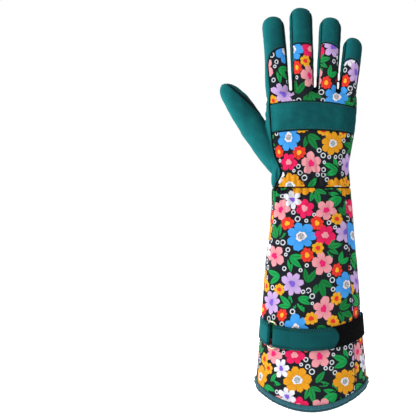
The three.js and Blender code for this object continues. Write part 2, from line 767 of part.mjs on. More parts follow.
const strapHeight = (angle) => {
  const c = Math.cos(angle * DEGREE);
  return STRAP_HEIGHT + STRAP_RISE * c - STRAP_SAG * (1 - c * c);
};

// A point on the strap's path: angle in degrees, height above its middle line, distance out.
function strapPoint(degrees, above, out) {
  const angle = degrees * DEGREE;
  const low = hemHeight(angle);
  const share = (strapHeight(degrees) + above - low) / (CUFF_TOP - low);
  return cuffPoint(angle, share, out);
}

// Degrees round the cuff for a millimetre along the strap's path, near the ring.
const TURN = 1 / strapPoint(RING_ANGLE + 0.5, 0, 0).distanceTo(strapPoint(RING_ANGLE - 0.5, 0, 0));

const HALF_STRAP = STRAP_WIDTH / 2;
const UNDER = GAP + STRAP_CLOTH / 2;             // middle of the layer on the cuff
const OVER = UNDER + STRAP_CLOTH + GAP;          // middle of the layer on top of it
const BAR_OUT = UNDER + STRAP_CLOTH / 2 + GAP + RING_WIRE / 2;
const BAR_ASIDE = ((RING_GAP + RING_WIRE) / 2) * TURN;
const SLACK = 0.4;            // how far the strap stands off at the little finger's side
const slackAt = (degrees) => SLACK * Math.max(0, 1 - Math.abs(degrees - 356) / 28);

// A band of cloth through stops along the strap: each has its angle, the distance out of
// the middle of the cloth, and half its width there.
function band(stops) {
  const profiles = stops.map((stop, number) => {
    const ahead = stops[Math.min(number + 1, stops.length - 1)];
    const behind = stops[Math.max(number - 1, 0)];
    const run = new THREE.Vector2(
      (ahead.degrees - behind.degrees) / TURN, ahead.out - behind.out,
    ).normalize();
    const corner = (side, above) => strapPoint(
      stop.degrees - run.y * side * (STRAP_CLOTH / 2) * TURN,
      above * stop.half,
      stop.out + run.x * side * (STRAP_CLOTH / 2),
    );
    return [corner(-1, -1), corner(1, -1), corner(1, 1), corner(-1, 1)];
  });
  return facingOut(sweep(profiles, false));
}

// The stops of a fold round one of the ring's bars, from under the bar to over it; the
// fold's bulge points along the strap in the given direction.
function foldStops(bar, direction) {
  const radius = BAR_OUT - UNDER;
  return [-90, -50, -15, 15, 50, 90].map((angle) => ({
    degrees: bar + direction * radius * Math.cos(angle * DEGREE) * TURN,
    out: BAR_OUT + radius * Math.sin(angle * DEGREE),
    half: HALF_STRAP,
  }));
}

const FOLD_TAIL = 5.0;        // how much of a fold lies beyond its bar under the strap

function strapLoop() {
  const from = RING_ANGLE + BAR_ASIDE + (FOLD_TAIL + GAP) * TURN;
  const stops = [];
  for (let step = 0; step <= 22; step += 1) {
    const degrees = lerp(from, ULNAR_END, step / 22);
    stops.push({ degrees, out: UNDER + slackAt(degrees), half: HALF_STRAP });
  }
  return band(stops);
}

// The tongue folds round the ring's bar and lies back over the strap, with a round end.
function strapTongue() {
  const bar = RING_ANGLE + BAR_ASIDE;
  const half = (degrees) => {
    const left = ((TONGUE_END - degrees) * DEGREE * MOUTH_WIDTH) / 2;
    const into = THREE.MathUtils.clamp((HALF_STRAP - left) / HALF_STRAP, 0, 0.985);
    return HALF_STRAP * Math.sqrt(1 - into * into);
  };
  const stops = [
    { degrees: bar + FOLD_TAIL * TURN, out: UNDER, half: HALF_STRAP },
    ...foldStops(bar, -1),
  ];
  const over = BAR_OUT * 2 - UNDER;
  const fallen = bar + 16.5;
  for (const degrees of [bar + 9.5, fallen, 253, 260, 267, 275, 282, 287, 290, 292.5, 294.5, 296,
    296.9, TONGUE_END]) {
    const fall = THREE.MathUtils.smoothstep(degrees, bar, fallen);
    stops.push({ degrees, out: lerp(over, OVER, fall) + slackAt(degrees), half: half(degrees) });
  }
  return band(stops);
}

// The tab comes from behind the thumb's side and folds back over the ring's other bar.
function strapTab() {
  const bar = RING_ANGLE - BAR_ASIDE;
  const stops = [TAB_END, 173, 180, 187, 194, 201, 207, 213].map((degrees) => (
    { degrees, out: UNDER, half: HALF_STRAP }
  ));
  stops.push(...foldStops(bar, 1));
  stops.push({ degrees: bar - 10, out: OVER + 0.6, half: HALF_STRAP });
  stops.push({ degrees: bar - 16, out: OVER, half: HALF_STRAP });
  return band(stops);
}

// An oblong wire ring whose long bars stand across the strap.
function strapRing() {
  const turns = 16;
  const sides = 6;
  const wide = (RING_GAP + RING_WIRE) / 2;
  const straight = (RING_LENGTH - RING_WIRE) / 2 - RING_BEND;
  const at = (turn) => {
    const c = Math.cos(turn);
    const s = Math.sin(turn);
    return strapPoint(
      RING_ANGLE + wide * c * TURN, RING_BEND * s + Math.sign(s) * straight, BAR_OUT,
    );
  };
  const out = strapPoint(RING_ANGLE, 0, 10).sub(strapPoint(RING_ANGLE, 0, 0)).normalize();
  const profiles = [];
  for (let k = 0; k < turns; k += 1) {
    const turn = (2 * Math.PI * (k + 0.5)) / turns;
    const centre = at(turn);
    const ahead = at(turn + 0.05).sub(at(turn - 0.05)).normalize();
    const side = ahead.clone().cross(out).normalize();
    const up = side.clone().cross(ahead).normalize();
    const points = [];
    for (let j = 0; j < sides; j += 1) {
      const angle = (2 * Math.PI * j) / sides;
      points.push(centre.clone()
        .addScaledVector(side, (RING_WIRE / 2) * Math.cos(angle))
        .addScaledVector(up, (RING_WIRE / 2) * Math.sin(angle)));
    }
    profiles.push(points);
  }
  return facingOut(sweep(profiles, true));
}

// Materials

const finish = (color, roughness, metalness = 0) => (
  new THREE.MeshStandardMaterial({ color, roughness, metalness })
);
const suede = finish(0x14696b, 0.9);
const touchCloth = finish(0x101315, 0.7);
const print = finish(0x24242c, 0.85);
const bindingCloth = finish(0x1c5560, 0.75);
const loopTape = finish(0x08090a, 0.95);
const metal = finish(0xc9bfae, 0.3, 1);

const gauntlet = new THREE.Group();
const hand = new THREE.Group();
hand.position.z = CUFF_LENGTH;
hand.rotation.z = HAND_TURN * DEGREE;
gauntlet.add(hand);

function place(group, name, geometry, material) {
  const mesh = new THREE.Mesh(geometry, material);
  mesh.name = name;
  group.add(mesh);
}

const handPieces = [
  ['palm_panel', palmPanel, suede],
  ['thumb_side_panel', thumbPanel, suede],
  ['back_panel', backPanel, print],
  ['finger_back_panel', fingerPanel, print],
  ['knuckle_band', knuckleBand, suede],
  ['fork_strip_index', forkStrips[0], suede],
  ['fork_strip_middle', forkStrips[1], suede],
  ['fork_strip_ring', forkStrips[2], suede],
  ['tip_cap_middle', capMiddle, suede],
  ['tip_cap_ring', capRing, suede],
  ['tip_cap_little', capLittle, suede],
  ['touch_patch_thumb', touchThumb, touchCloth],
  ['touch_patch_index', touchIndex, touchCloth],
  ['touch_patch_middle', touchMiddle, touchCloth],
  ['tip_patch_ring', patchRing, suede],
  ['tip_patch_little', patchLittle, suede],
  ...pads.map(([name, solid]) => [name, solid, suede]),
];
for (const [name, solid, material] of handPieces) {
  place(hand, name, geometryOf(mainBody(solid)), material);
}

place(gauntlet, 'cuff_sleeve', cuffSleeve(), print);
place(gauntlet, 'hem_binding', hemBinding(), bindingCloth);
place(gauntlet, 'strap_loop_side', strapLoop(), loopTape);
place(gauntlet, 'strap_tongue', strapTongue(), suede);
place(gauntlet, 'strap_tab', strapTab(), suede);
place(gauntlet, 'strap_ring', strapRing(), metal);

export default gauntlet;
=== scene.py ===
"""The looks of a long pruning gauntlet for the right hand: suede hand with a printed back,
long printed cuff with a bound mouth, and a strap through a metal ring.
Shapes are worked out in millimetres and written in metres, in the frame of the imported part."""
import math

import bpy
import numpy as np
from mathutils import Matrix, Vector, bvhtree, kdtree


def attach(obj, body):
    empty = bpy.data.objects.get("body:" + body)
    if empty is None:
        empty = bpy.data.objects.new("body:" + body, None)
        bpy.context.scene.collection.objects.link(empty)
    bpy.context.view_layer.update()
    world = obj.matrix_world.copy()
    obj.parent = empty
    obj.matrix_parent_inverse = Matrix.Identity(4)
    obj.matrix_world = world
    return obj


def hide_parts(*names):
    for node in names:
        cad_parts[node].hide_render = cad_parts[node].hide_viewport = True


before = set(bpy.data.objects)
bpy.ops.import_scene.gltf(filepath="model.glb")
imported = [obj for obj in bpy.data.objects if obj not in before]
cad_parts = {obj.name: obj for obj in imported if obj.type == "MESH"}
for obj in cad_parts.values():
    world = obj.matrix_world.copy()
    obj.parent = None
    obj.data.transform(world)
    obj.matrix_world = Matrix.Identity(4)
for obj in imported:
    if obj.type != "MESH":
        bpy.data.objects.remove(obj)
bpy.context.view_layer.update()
scene = bpy.context.scene
MM = 0.001
FAR = 400.0

# Sizes of the part, the same as those of its solids
CLOTH = 2.0
SEAM_RISE = 4.0
PALM_LENGTH = 103.4
PALM_WIDTH = 99.0
HALF_PALM = PALM_WIDTH / 2
PALM_DEPTH = 34.0
WRIST_WIDTH = 83.4
WRIST_DEPTH = 46.0
FINGER_CURL = 7.0
TIP_ROUND = 12.0
HAND_TURN = math.radians(6.0)
FINGERS = {
    "index": dict(length=80.6, width=24.6, depth=21.5, lean=-5.0, seat=-0.705),
    "middle": dict(length=91.3, width=25.8, depth=22.0, lean=-1.4, seat=-0.186),
    "ring": dict(length=81.6, width=24.6, depth=21.0, lean=3.8, seat=0.325),
    "little": dict(length=60.0, width=21.6, depth=18.5, lean=7.3, seat=0.785),
}
INDEX, MIDDLE, RING, LITTLE = FINGERS.values()
THUMB_REACH, THUMB_RISE = 97.0, 110.5
THUMB_WIDTH, THUMB_DEPTH, THUMB_FORWARD = 34.0, 29.0, 19.0
THUMB_SEAM = 4.6
CUFF_LENGTH = 227.6
MOUTH_WIDTH, MOUTH_DEPTH = 121.4, 88.0
HEM_DROP = 18.0
BINDING_HEIGHT, BINDING_CLOTH = 7.0, 1.2
STRAP_WIDTH, STRAP_CLOTH = 22.0, 1.2
STRAP_HEIGHT, STRAP_RISE, STRAP_SAG = 81.0, 1.5, 8.7
RING_WIRE, RING_LENGTH, RING_GAP, RING_BEND = 2.0, 29.0, 6.6, 2.6
GAP = 0.3
VOXEL = 0.9
NO_SEAM = 9.0                         # distance given to what lies far from any seam

# Sections of the palm, from the wrist up
PALM = dict(
    along=[-0.04, 0.00, 0.12, 0.22, 0.36, 0.50, 0.75, 0.90, 0.97, 1.00],
    wide=[0.84, 0.84, 0.85, 0.83, 0.875, 0.925, 0.985, 0.975, 0.95, 0.88],
    deep=[1.00, 1.00, 1.24, 1.12, 1.09, 1.07, 1.00, 0.88, 0.66, 0.36],
    wrist=[1.0, 1.0, 0.7, 0.0, 0.0, 0.0, 0.0, 0.0, 0.0, 0.0],
    aside=[-0.004, -0.004, -0.008, -0.010, -0.010, -0.008, -0.002, 0.008, 0.008, 0.006],
)
# Sections of a finger, as shares of its length, width and depth
FINGER = dict(
    along=[-0.26, 0.00, 0.18, 0.34, 0.70],
    wide=[0.88, 0.90, 0.925, 0.955, 0.97],
    deep=[0.94, 1.03, 1.00, 0.97, 0.88],
)
# Sections of the thumb from deep in the palm to its tip
THUMB = dict(
    out=[0.10, 0.24, 0.37, 0.50, 0.615, 0.72, 0.825, 0.90, 0.955, 0.99, 1.00],
    up=[0.02, 0.12, 0.27, 0.43, 0.59, 0.72, 0.845, 0.925, 0.972, 0.996, 1.00],
    forward=[0.05, 0.14, 0.26, 0.40, 0.55, 0.68, 0.80, 0.89, 0.95, 0.99, 1.00],
    wide=[0.62, 0.75, 0.88, 0.94, 0.96, 0.90, 0.78, 0.64, 0.46, 0.22, 0.05],
    deep=[0.70, 0.92, 1.04, 1.03, 0.97, 0.90, 0.82, 0.74, 0.56, 0.28, 0.06],
)
THUMB_SIDE_SEAM = dict(
    along=[-0.05, 0.01, 0.07, 0.14, 0.21, 0.30, 0.41, 0.56, 0.70, 0.90],
    side=[-0.81, -0.80, -0.74, -0.67, -0.70, -0.78, -0.84, -0.88, -0.90, -0.92],
)
THUMB_PALM_SEAM = dict(
    out=[0.235, 0.245, 0.285, 0.372, 0.519, 0.671, 0.829, 0.949, 1.069],
    up=[-0.05, 0.06, 0.18, 0.292, 0.431, 0.593, 0.767, 0.897, 1.027],
)
# Ends of the printed prongs: shares of a finger's length at places across it
PRONG_SIDES = [-1.0, -0.85, -0.6, -0.2, 0.2, 0.6, 1.0]
PRONG_TOPS = dict(
    index=[0.325, 0.395, 0.458, 0.507, 0.534, 0.552, 0.565],
    middle=[0.532, 0.537, 0.542, 0.546, 0.546, 0.542, 0.536],
    ring=[0.620, 0.624, 0.628, 0.624, 0.612, 0.590, 0.563],
    little=[0.48, 0.53, 0.562, 0.576, 0.566, 0.530, 0.450],
)
SIDE_SEAM = 0.80
FORK_NOTCH = 5.0
BAND_LOW, BAND_HIGH, BAND_BOW, BAND_DIP = 0.583, 0.880, 3.8, 2.0
PATCH_FROM = dict(index=0.70, middle=0.70, ring=0.60, little=0.60)
TOUCH_LENGTH = 28.0
PADS = {
    "palm_pad_upper": [
        (-0.62, 0.83), (-0.30, 0.93), (0.05, 0.955), (0.42, 0.91), (0.70, 0.80),
        (0.66, 0.755), (0.30, 0.775), (-0.05, 0.815), (-0.35, 0.82)],
    "palm_pad_middle": [
        (-0.36, 0.675), (-0.24, 0.715), (0.02, 0.705), (0.07, 0.67), (0.055, 0.42),
        (0.02, 0.405), (-0.06, 0.44), (-0.26, 0.575)],
    "palm_pad_outer": [
        (0.17, 0.69), (0.46, 0.665), (0.66, 0.585), (0.72, 0.46), (0.66, 0.33),
        (0.50, 0.245), (0.20, 0.23), (0.16, 0.30)],
    "palm_pad_heel": [
        (-0.42, 0.56), (-0.30, 0.47), (-0.02, 0.33), (0.06, 0.295), (0.07, 0.225),
        (-0.12, 0.235), (-0.26, 0.32), (-0.38, 0.44)],
}

# Stitched lines and creases of the palm side, in millimetres across and up
PALM_STITCHES = [
    [(-20.8, 47.3), (-17.4, 40.7)],
    [(19.0, 72.5), (31.0, 68.5), (37.5, 61.0), (39.5, 52.0)],
]
# points, depth, half width
PALM_CREASES = [
    ([(-50, 86), (-45.9, 82.9), (-32.4, 72.4), (-25.7, 64.7), (-22.8, 53.1), (-20.8, 45.0)], 1.7, 2.2),
    ([(40, 92), (42, 75), (41, 60), (43, 40)], 0.9, 2.2),
    ([(45, 85), (45.5, 62), (44, 48)], 0.8, 2.0),
    ([(-30, 12), (-12, 15), (8, 13), (30, 16)], 1.0, 3.0),
    ([(-26, 24), (-10, 22), (6, 24)], 0.6, 2.6),
]


# Arithmetic

def curve(xs, ys, at):
    """A smooth curve through a few points, with Catmull-Rom slopes."""
    xs, ys, at = np.asarray(xs, float), np.asarray(ys, float), np.asarray(at, float)
    steps = np.diff(ys) / np.diff(xs)
    slope = np.empty_like(ys)
    slope[0], slope[-1] = steps[0], steps[-1]
    before, after = np.diff(xs)[:-1], np.diff(xs)[1:]
    slope[1:-1] = (steps[:-1] * after + steps[1:] * before) / (before + after)
    i = np.clip(np.searchsorted(xs, at) - 1, 0, len(xs) - 2)
    h = xs[i + 1] - xs[i]
    t = np.clip((at - xs[i]) / h, 0, 1)
    a, b = 2 * t**3 - 3 * t**2 + 1, t**3 - 2 * t**2 + t
    return a * ys[i] + b * h * slope[i] + (1 - a) * ys[i + 1] + (t**3 - t**2) * h * slope[i + 1]


def smoothstep(low, high, x):
    """0 at low and 1 at high, with a smooth rise between."""
    t = np.clip((x - low) / (high - low), 0, 1)
    return t * t * (3 - 2 * t)


def ripple(points, scale, seed, octaves=3):
    """Smooth noise from seeded waves, about -1 to 1, with features about as long as scale."""
    rng = np.random.default_rng(seed)
    total, weight = np.zeros(len(points)), 0.0
    for octave in range(octaves):
        for _ in range(6):
            way = rng.normal(size=3)
            way *= 2 * math.pi / (scale * np.linalg.norm(way)) * 2**octave
            share = 0.55**octave
            total += share * np.sin(points @ way + rng.uniform(0, 6.28))
            weight += share**2 / 2
    return total / (2.2 * math.sqrt(weight))


def line_distance(x, z, line):
    """Distance in X and Z from a line through points."""
    best = np.full(len(x), 1e9)
    for (x0, z0), (x1, z1) in zip(line, line[1:]):
        ex, ez = x1 - x0, z1 - z0
        t = np.clip(((x - x0) * ex + (z - z0) * ez) / (ex * ex + ez * ez), 0, 1)
        best = np.minimum(best, np.hypot(x - x0 - t * ex, z - z0 - t * ez))
    return best


def curl_at(z):
    """How far the hand's middle surface leans to the palm side at a height."""
    return FINGER_CURL * (np.maximum(0, z - PALM_LENGTH) / MIDDLE["length"]) ** 2


def finger_x(f, z):
    """The middle of a finger at a height."""
    return f["seat"] * HALF_PALM + (z - PALM_LENGTH) * math.tan(math.radians(f["lean"]))


def side_x(f, side, z):
    """A finger's seam at a height, -1 on the thumb's side and 1 on the other."""
    return finger_x(f, z) + side * SIDE_SEAM * f["width"] / 2


def oblong(centre, right, deep, half_width, half_depth, squareness, sides):
    """A ring of points; squareness 2 is an ellipse, and more is squarer."""
    angle = 2 * math.pi * np.arange(sides) / sides
    c, s = np.cos(angle), np.sin(angle)
    power = 2 / squareness
    across = half_width * np.sign(c) * np.abs(c) ** power
    through = half_depth * np.sign(s) * np.abs(s) ** power
    return centre + across[:, None] * right + through[:, None] * deep


def unit(v):
    """A direction, or rows of directions, made 1 long."""
    return v / np.linalg.norm(v, axis=-1, keepdims=True)


def run_along(path):
    """How far along a path each of its points lies."""
    return np.concatenate([[0], np.cumsum(np.linalg.norm(np.diff(path, axis=0), axis=1))])


def smooth_line(points, count):
    """A smooth line through a few points, as count points."""
    rows = np.arange(len(points))
    fine = np.linspace(0, len(points) - 1, count)
    return np.stack([curve(rows, values, fine) for values in zip(*points)], 1)


def gathers(around, drift, counts, seed):
    """Folds of several widths round the arm, out of step with each other."""
    rng = np.random.default_rng(seed)
    return sum(np.cos(count * around + rng.uniform(0, 6.28) + drift) for count in counts)


def mesh_of(name, points, faces):
    me = bpy.data.meshes.new(name)
    me.from_pydata(np.asarray(points).tolist(), [], [list(f) for f in faces])
    me.update()
    return me


# The hand's form: lofts joined by a voxel remesh, then eased

def loft(rings):
    """Points and faces of a closed skin through rings."""
    count = len(rings[0])
    points = np.concatenate([np.concatenate(rings), [rings[0].mean(0)], [rings[-1].mean(0)]])
    faces = []
    for row in range(len(rings) - 1):
        for k in range(count):
            a, b = row * count + k, row * count + (k + 1) % count
            faces.append((a, b, b + count, a + count))
    end = (len(rings) - 1) * count
    for k in range(count):
        n = (k + 1) % count
        faces.append((n, k, len(points) - 2))
        faces.append((end + k, end + n, len(points) - 1))
    return points, faces


def palm_loft():
    along = np.linspace(-0.04, 1.0, 36)
    get = {key: curve(PALM["along"], values, along) for key, values in PALM.items()}
    rings = []
    for i, a in enumerate(along):
        wrist = np.clip(get["wrist"][i], 0, 1)
        width = PALM_WIDTH * get["wide"][i] * (1 - wrist) + WRIST_WIDTH * wrist
        depth = PALM_DEPTH * get["deep"][i] * (1 - wrist) + WRIST_DEPTH * wrist
        centre = np.array([PALM_WIDTH * get["aside"][i], 0, PALM_LENGTH * a])
        rings.append(oblong(centre, np.array([1.0, 0, 0]), np.array([0, 1.0, 0]),
                            width / 2, depth / 2, 2.5, 64))
    return loft(rings)


def finger_loft(f):
    lean = math.radians(f["lean"])

    def at(along):
        z = PALM_LENGTH + f["length"] * along * math.cos(lean)
        return np.array([finger_x(f, z), float(curl_at(z)), z])

    def ring(along, wide, deep):
        up = unit(at(along + 0.01) - at(along - 0.01))
        right = unit(np.cross([0, 1, 0], up))
        return oblong(at(along), right, np.cross(up, right),
                      max(f["width"] / 2 * wide, 0.05), max(f["depth"] / 2 * deep, 0.05), 2.3, 40)

    dome = 1 - TIP_ROUND / f["length"]
    stations = np.linspace(-0.26, dome, 22)
    rings = []
    for a in stations:
        wide = curve(FINGER["along"], FINGER["wide"], min(a, 0.70))
        deep = curve(FINGER["along"], FINGER["deep"], min(a, 0.70))
        rings.append(ring(a, wide, deep))
        if f is INDEX:
            # fuller at its root, towards the thumb
            full = math.exp(-((a - 0.05) / 0.28) ** 2)
            middle = rings[-1].mean(0)
            outward = np.maximum(0, middle[0] - rings[-1][:, 0]) / (f["width"] / 2)
            rings[-1][:, 0] -= 3.4 * full * np.minimum(1, outward)
    for step in range(1, 10):
        angle = math.radians(88 * step / 9)
        shrink = math.cos(angle) ** 0.9
        rings.append(ring(dome + TIP_ROUND / f["length"] * math.sin(angle), wide * shrink, deep * shrink))
    return loft(rings)


def thumb_loft():
    rows = np.arange(len(THUMB["out"]), dtype=float)
    fine = np.linspace(0, len(rows) - 1, 45)
    get = {key: curve(rows, values, fine) for key, values in THUMB.items()}
    path = np.stack([-THUMB_REACH * get["out"], THUMB_FORWARD * get["forward"],
                     THUMB_RISE * get["up"]], 1)
    rings = []
    for i, centre in enumerate(path):
        up = unit(path[min(i + 1, len(path) - 1)] - path[max(i - 1, 0)])
        right = unit(np.cross([0, 1, 0], up))
        rings.append(oblong(centre, right, np.cross(up, right),
                            max(THUMB_WIDTH / 2 * get["wide"][i], 0.1),
                            max(THUMB_DEPTH / 2 * get["deep"][i], 0.1), 2.3, 40))
        # slimmer on its inner side
        inner = np.maximum(0, (rings[-1] - centre) @ right)
        rings[-1] -= inner[:, None] * right * 0.24 * math.exp(-((fine[i] - 3.4) / 2.0) ** 2)
    return loft(rings)


def web(first, second, rise, side):
    """Half of the cloth that narrows the slit between two fingers to a V on the palm side."""
    rings = []
    for z, wide in ((-10, 1.02), (rise, 1.02), (rise + 3, 0.6), (rise + 9, 0.03)):
        z += PALM_LENGTH
        left, right = side_x(first, 0.75, z), side_x(second, -0.75, z)
        reach = wide * (right - left) / 2
        if side < 0:
            right = left + reach
        else:
            left = right - reach
        rings.append(np.array([(left, 2.5, z), (right, 2.5, z), (right, 7.5, z), (left, 7.5, z)]))
    return loft(rings)


def joined(lofts):
    points, faces, offset = [], [], 0
    for p, f in lofts:
        points.append(p)
        faces += [tuple(i + offset for i in face) for face in f]
        offset += len(p)
    return np.concatenate(points), faces


def remeshed(points, faces, voxel):
    """Points and triangles of one skin round the joined forms."""
    me = mesh_of("form", points, faces)
    ob = bpy.data.objects.new("form", me)
    scene.collection.objects.link(ob)
    mod = ob.modifiers.new("voxels", "REMESH")
    mod.mode = "VOXEL"
    mod.voxel_size = voxel
    mod.adaptivity = 0
    done = ob.evaluated_get(bpy.context.evaluated_depsgraph_get()).to_mesh()
    done.calc_loop_triangles()
    out = np.empty(len(done.vertices) * 3, np.float32)
    done.vertices.foreach_get("co", out)
    tri = np.empty(len(done.loop_triangles) * 3, np.int32)
    done.loop_triangles.foreach_get("vertices", tri)
    bpy.data.objects.remove(ob)
    bpy.data.meshes.remove(me)
    return out.reshape(-1, 3).astype(float), tri.reshape(-1, 3).astype(np.int64)


def edges_of(tris):
    """Unique edges, and each triangle's three edge numbers."""
    pairs = np.sort(np.concatenate([tris[:, [0, 1]], tris[:, [1, 2]], tris[:, [2, 0]]]), axis=1)
    edges, back = np.unique(pairs, axis=0, return_inverse=True)
    return edges, back.reshape(3, -1).T


def eased(points, tris, rounds):
    """Taubin smoothing, which keeps the volume."""
    edges, _ = edges_of(tris)
    a, b = edges.T
    degree = np.bincount(edges.ravel(), minlength=len(points)).astype(float)
    for step in range(rounds * 2):
        factor = 0.5 if step % 2 == 0 else -0.52
        total = np.stack([np.bincount(a, points[b, k], len(points))
                          + np.bincount(b, points[a, k], len(points)) for k in range(3)], 1)
        points = points + factor * (total / degree[:, None] - points)
    return points


def normals_of(points, tris):
    a, b, c = (points[tris[:, k]] for k in range(3))
    face = np.cross(b - a, c - a)
    out = np.stack([sum(np.bincount(tris[:, k], face[:, j], len(points)) for k in range(3))
                    for j in range(3)], 1)
    return out / np.maximum(np.linalg.norm(out, axis=1), 1e-12)[:, None]


# Seams: the skin is split along the lines where fields change sign

def split(points, tris, label, field, only):
    """Splits the triangles with the label `only` along field = 0; returns the parts of the
    mesh and a mark of those triangles that lie where the field is positive."""
    s = field(points)
    edges, of = edges_of(tris)
    active = np.zeros(len(edges), bool)
    active[of[label == only].ravel()] = True
    a, b = edges.T
    crossing = active & (s[a] * s[b] < 0)
    t = s[a] / np.where(crossing, s[a] - s[b], 1)
    near = crossing & ((t < 0.2) | (t > 0.8))
    move = np.where(t < 0.5, a, b)[near]
    target = points[a[near]] + t[near, None] * (points[b[near]] - points[a[near]])
    move, first = np.unique(move, return_index=True)
    points = points.copy()
    points[move] = target[first]
    s = s.copy()
    s[move] = 0
    crossing = active & (s[a] * s[b] < 0)
    t = (s[a] / np.where(crossing, s[a] - s[b], 1))[crossing]
    made = points[a[crossing]] + t[:, None] * (points[b[crossing]] - points[a[crossing]])
    number = np.full(len(edges), -1)
    number[crossing] = len(points) + np.arange(len(made))
    points = np.concatenate([points, made])
    s = np.concatenate([s, np.zeros(len(made))])
    m = number[of]
    cuts = (m >= 0).sum(1)
    out, labels = [tris[cuts == 0]], [label[cuts == 0]]
    for turn in range(3):
        v, e = np.roll(tris, -turn, 1), np.roll(m, -turn, 1)
        one = (cuts == 1) & (e[:, 0] >= 0)
        two = (cuts == 2) & (e[:, 2] < 0)
        for pick, corners in (
            (one, lambda v, e: ((v[:, 0], e[:, 0], v[:, 2]), (e[:, 0], v[:, 1], v[:, 2]))),
            (two, lambda v, e: ((e[:, 0], v[:, 1], e[:, 1]), (v[:, 0], e[:, 0], e[:, 1]),
                                (v[:, 0], e[:, 1], v[:, 2]))),
        ):
            if pick.any():
                for corner in corners(v[pick], e[pick]):
                    out.append(np.stack(corner, 1))
                    labels.append(label[pick])
    tris, label = np.concatenate(out), np.concatenate(labels)
    inside = (label == only) & (s[tris].sum(1) > 0)
    return points, tris, label, inside


def within(outline):
    """Signed distance in X and Z from an outline, positive inside it."""
    corners = np.array(outline, float)
    following = np.roll(corners, -1, 0)

    def field(p):
        x, z = p[:, 0], p[:, 2]
        best, odd = np.full(len(p), 1e12), np.zeros(len(p), bool)
        for (x0, z0), (x1, z1) in zip(corners, following):
            ex, ez = x1 - x0, z1 - z0
            t = np.clip(((x - x0) * ex + (z - z0) * ez) / (ex * ex + ez * ez), 0, 1)
            best = np.minimum(best, (x - x0 - t * ex) ** 2 + (z - z0 - t * ez) ** 2)
            if z0 != z1:
                odd ^= ((z0 > z) != (z1 > z)) & (x < ex * (z - z0) / ez + x0)
        return np.where(odd, 1, -1) * np.sqrt(best)

    return field


def both(*fields):
    return lambda p: np.min([f(p) for f in fields], axis=0)


def either(*fields):
    return lambda p: np.max([f(p) for f in fields], axis=0)


def outside(field):
    return lambda p: -field(p)


def in_front(p):
    return curl_at(p[:, 2]) - SEAM_RISE - p[:, 1]


def before_middle(p):
    return curl_at(p[:, 2]) - p[:, 1]


def before_thumb(p):
    return THUMB_SEAM - THUMB_FORWARD / THUMB_REACH * p[:, 0] - p[:, 1]


def top_of(f):
    return PALM_LENGTH + f["length"] + TIP_ROUND


def prong_top(name):
    """The upper end of a finger's printed prong."""
    f = FINGERS[name]
    side = np.linspace(-1, 1, 25)
    z = PALM_LENGTH + f["length"] * curve(PRONG_SIDES, PRONG_TOPS[name], side)
    return [(side_x(f, s, h), h) for s, h in zip(side, z)]


def prong(name):
    f = FINGERS[name]
    root = PALM_LENGTH - 6
    points = [(side_x(f, -1, root), root), (side_x(f, 1, root), root)]
    return within(points + prong_top(name)[::-1])


def band_line(share, dip):
    """A bowed edge of the knuckle band."""
    across = np.linspace(-1.15, 1.15, 25)
    z = PALM_LENGTH * share - BAND_BOW * across**2 - dip * np.maximum(0, across)
    return list(zip(across * HALF_PALM, z))


def seam_line():
    """The seam between the back panel and the thumb's side."""
    along = np.linspace(-0.05, 0.90, 40)
    side = curve(THUMB_SIDE_SEAM["along"], THUMB_SIDE_SEAM["side"], along)
    return list(zip(HALF_PALM * side, PALM_LENGTH * along))


def thumb_palm_line():
    """The seam of the thumb's side panel on the palm side."""
    out, up = smooth_line(list(zip(*THUMB_PALM_SEAM.values())), 40).T
    return list(zip(-THUMB_REACH * out, THUMB_RISE * up))


def across_finger(f, low, high, left=-1):
    """A finger between its seams and between two heights."""
    return within([(side_x(f, left, low), low), (side_x(f, 1, low), low),
                   (side_x(f, 1, high), high), (side_x(f, left, high), high)])


def fork(first, second):
    """The strip that runs up both sides of the slit between two fingers."""
    low = PALM_LENGTH + 1
    bottom = (side_x(first, 1, low) + side_x(second, -1, low)) / 2
    return within([
        (bottom, low - FORK_NOTCH), (side_x(second, -1, low), low),
        (side_x(second, -1, top_of(second)), top_of(second)),
        (side_x(first, 1, top_of(first)), top_of(first)), (side_x(first, 1, low), low)])


def pad_outline(name):
    """A pad's outline with its corners cut round."""
    ring = np.array(PADS[name]) * [HALF_PALM, PALM_LENGTH]
    for _ in range(2):
        ahead = np.roll(ring, -1, 0)
        ring = np.stack([ring * 0.75 + ahead * 0.25, ring * 0.25 + ahead * 0.75], 1).reshape(-1, 2)
    return ring


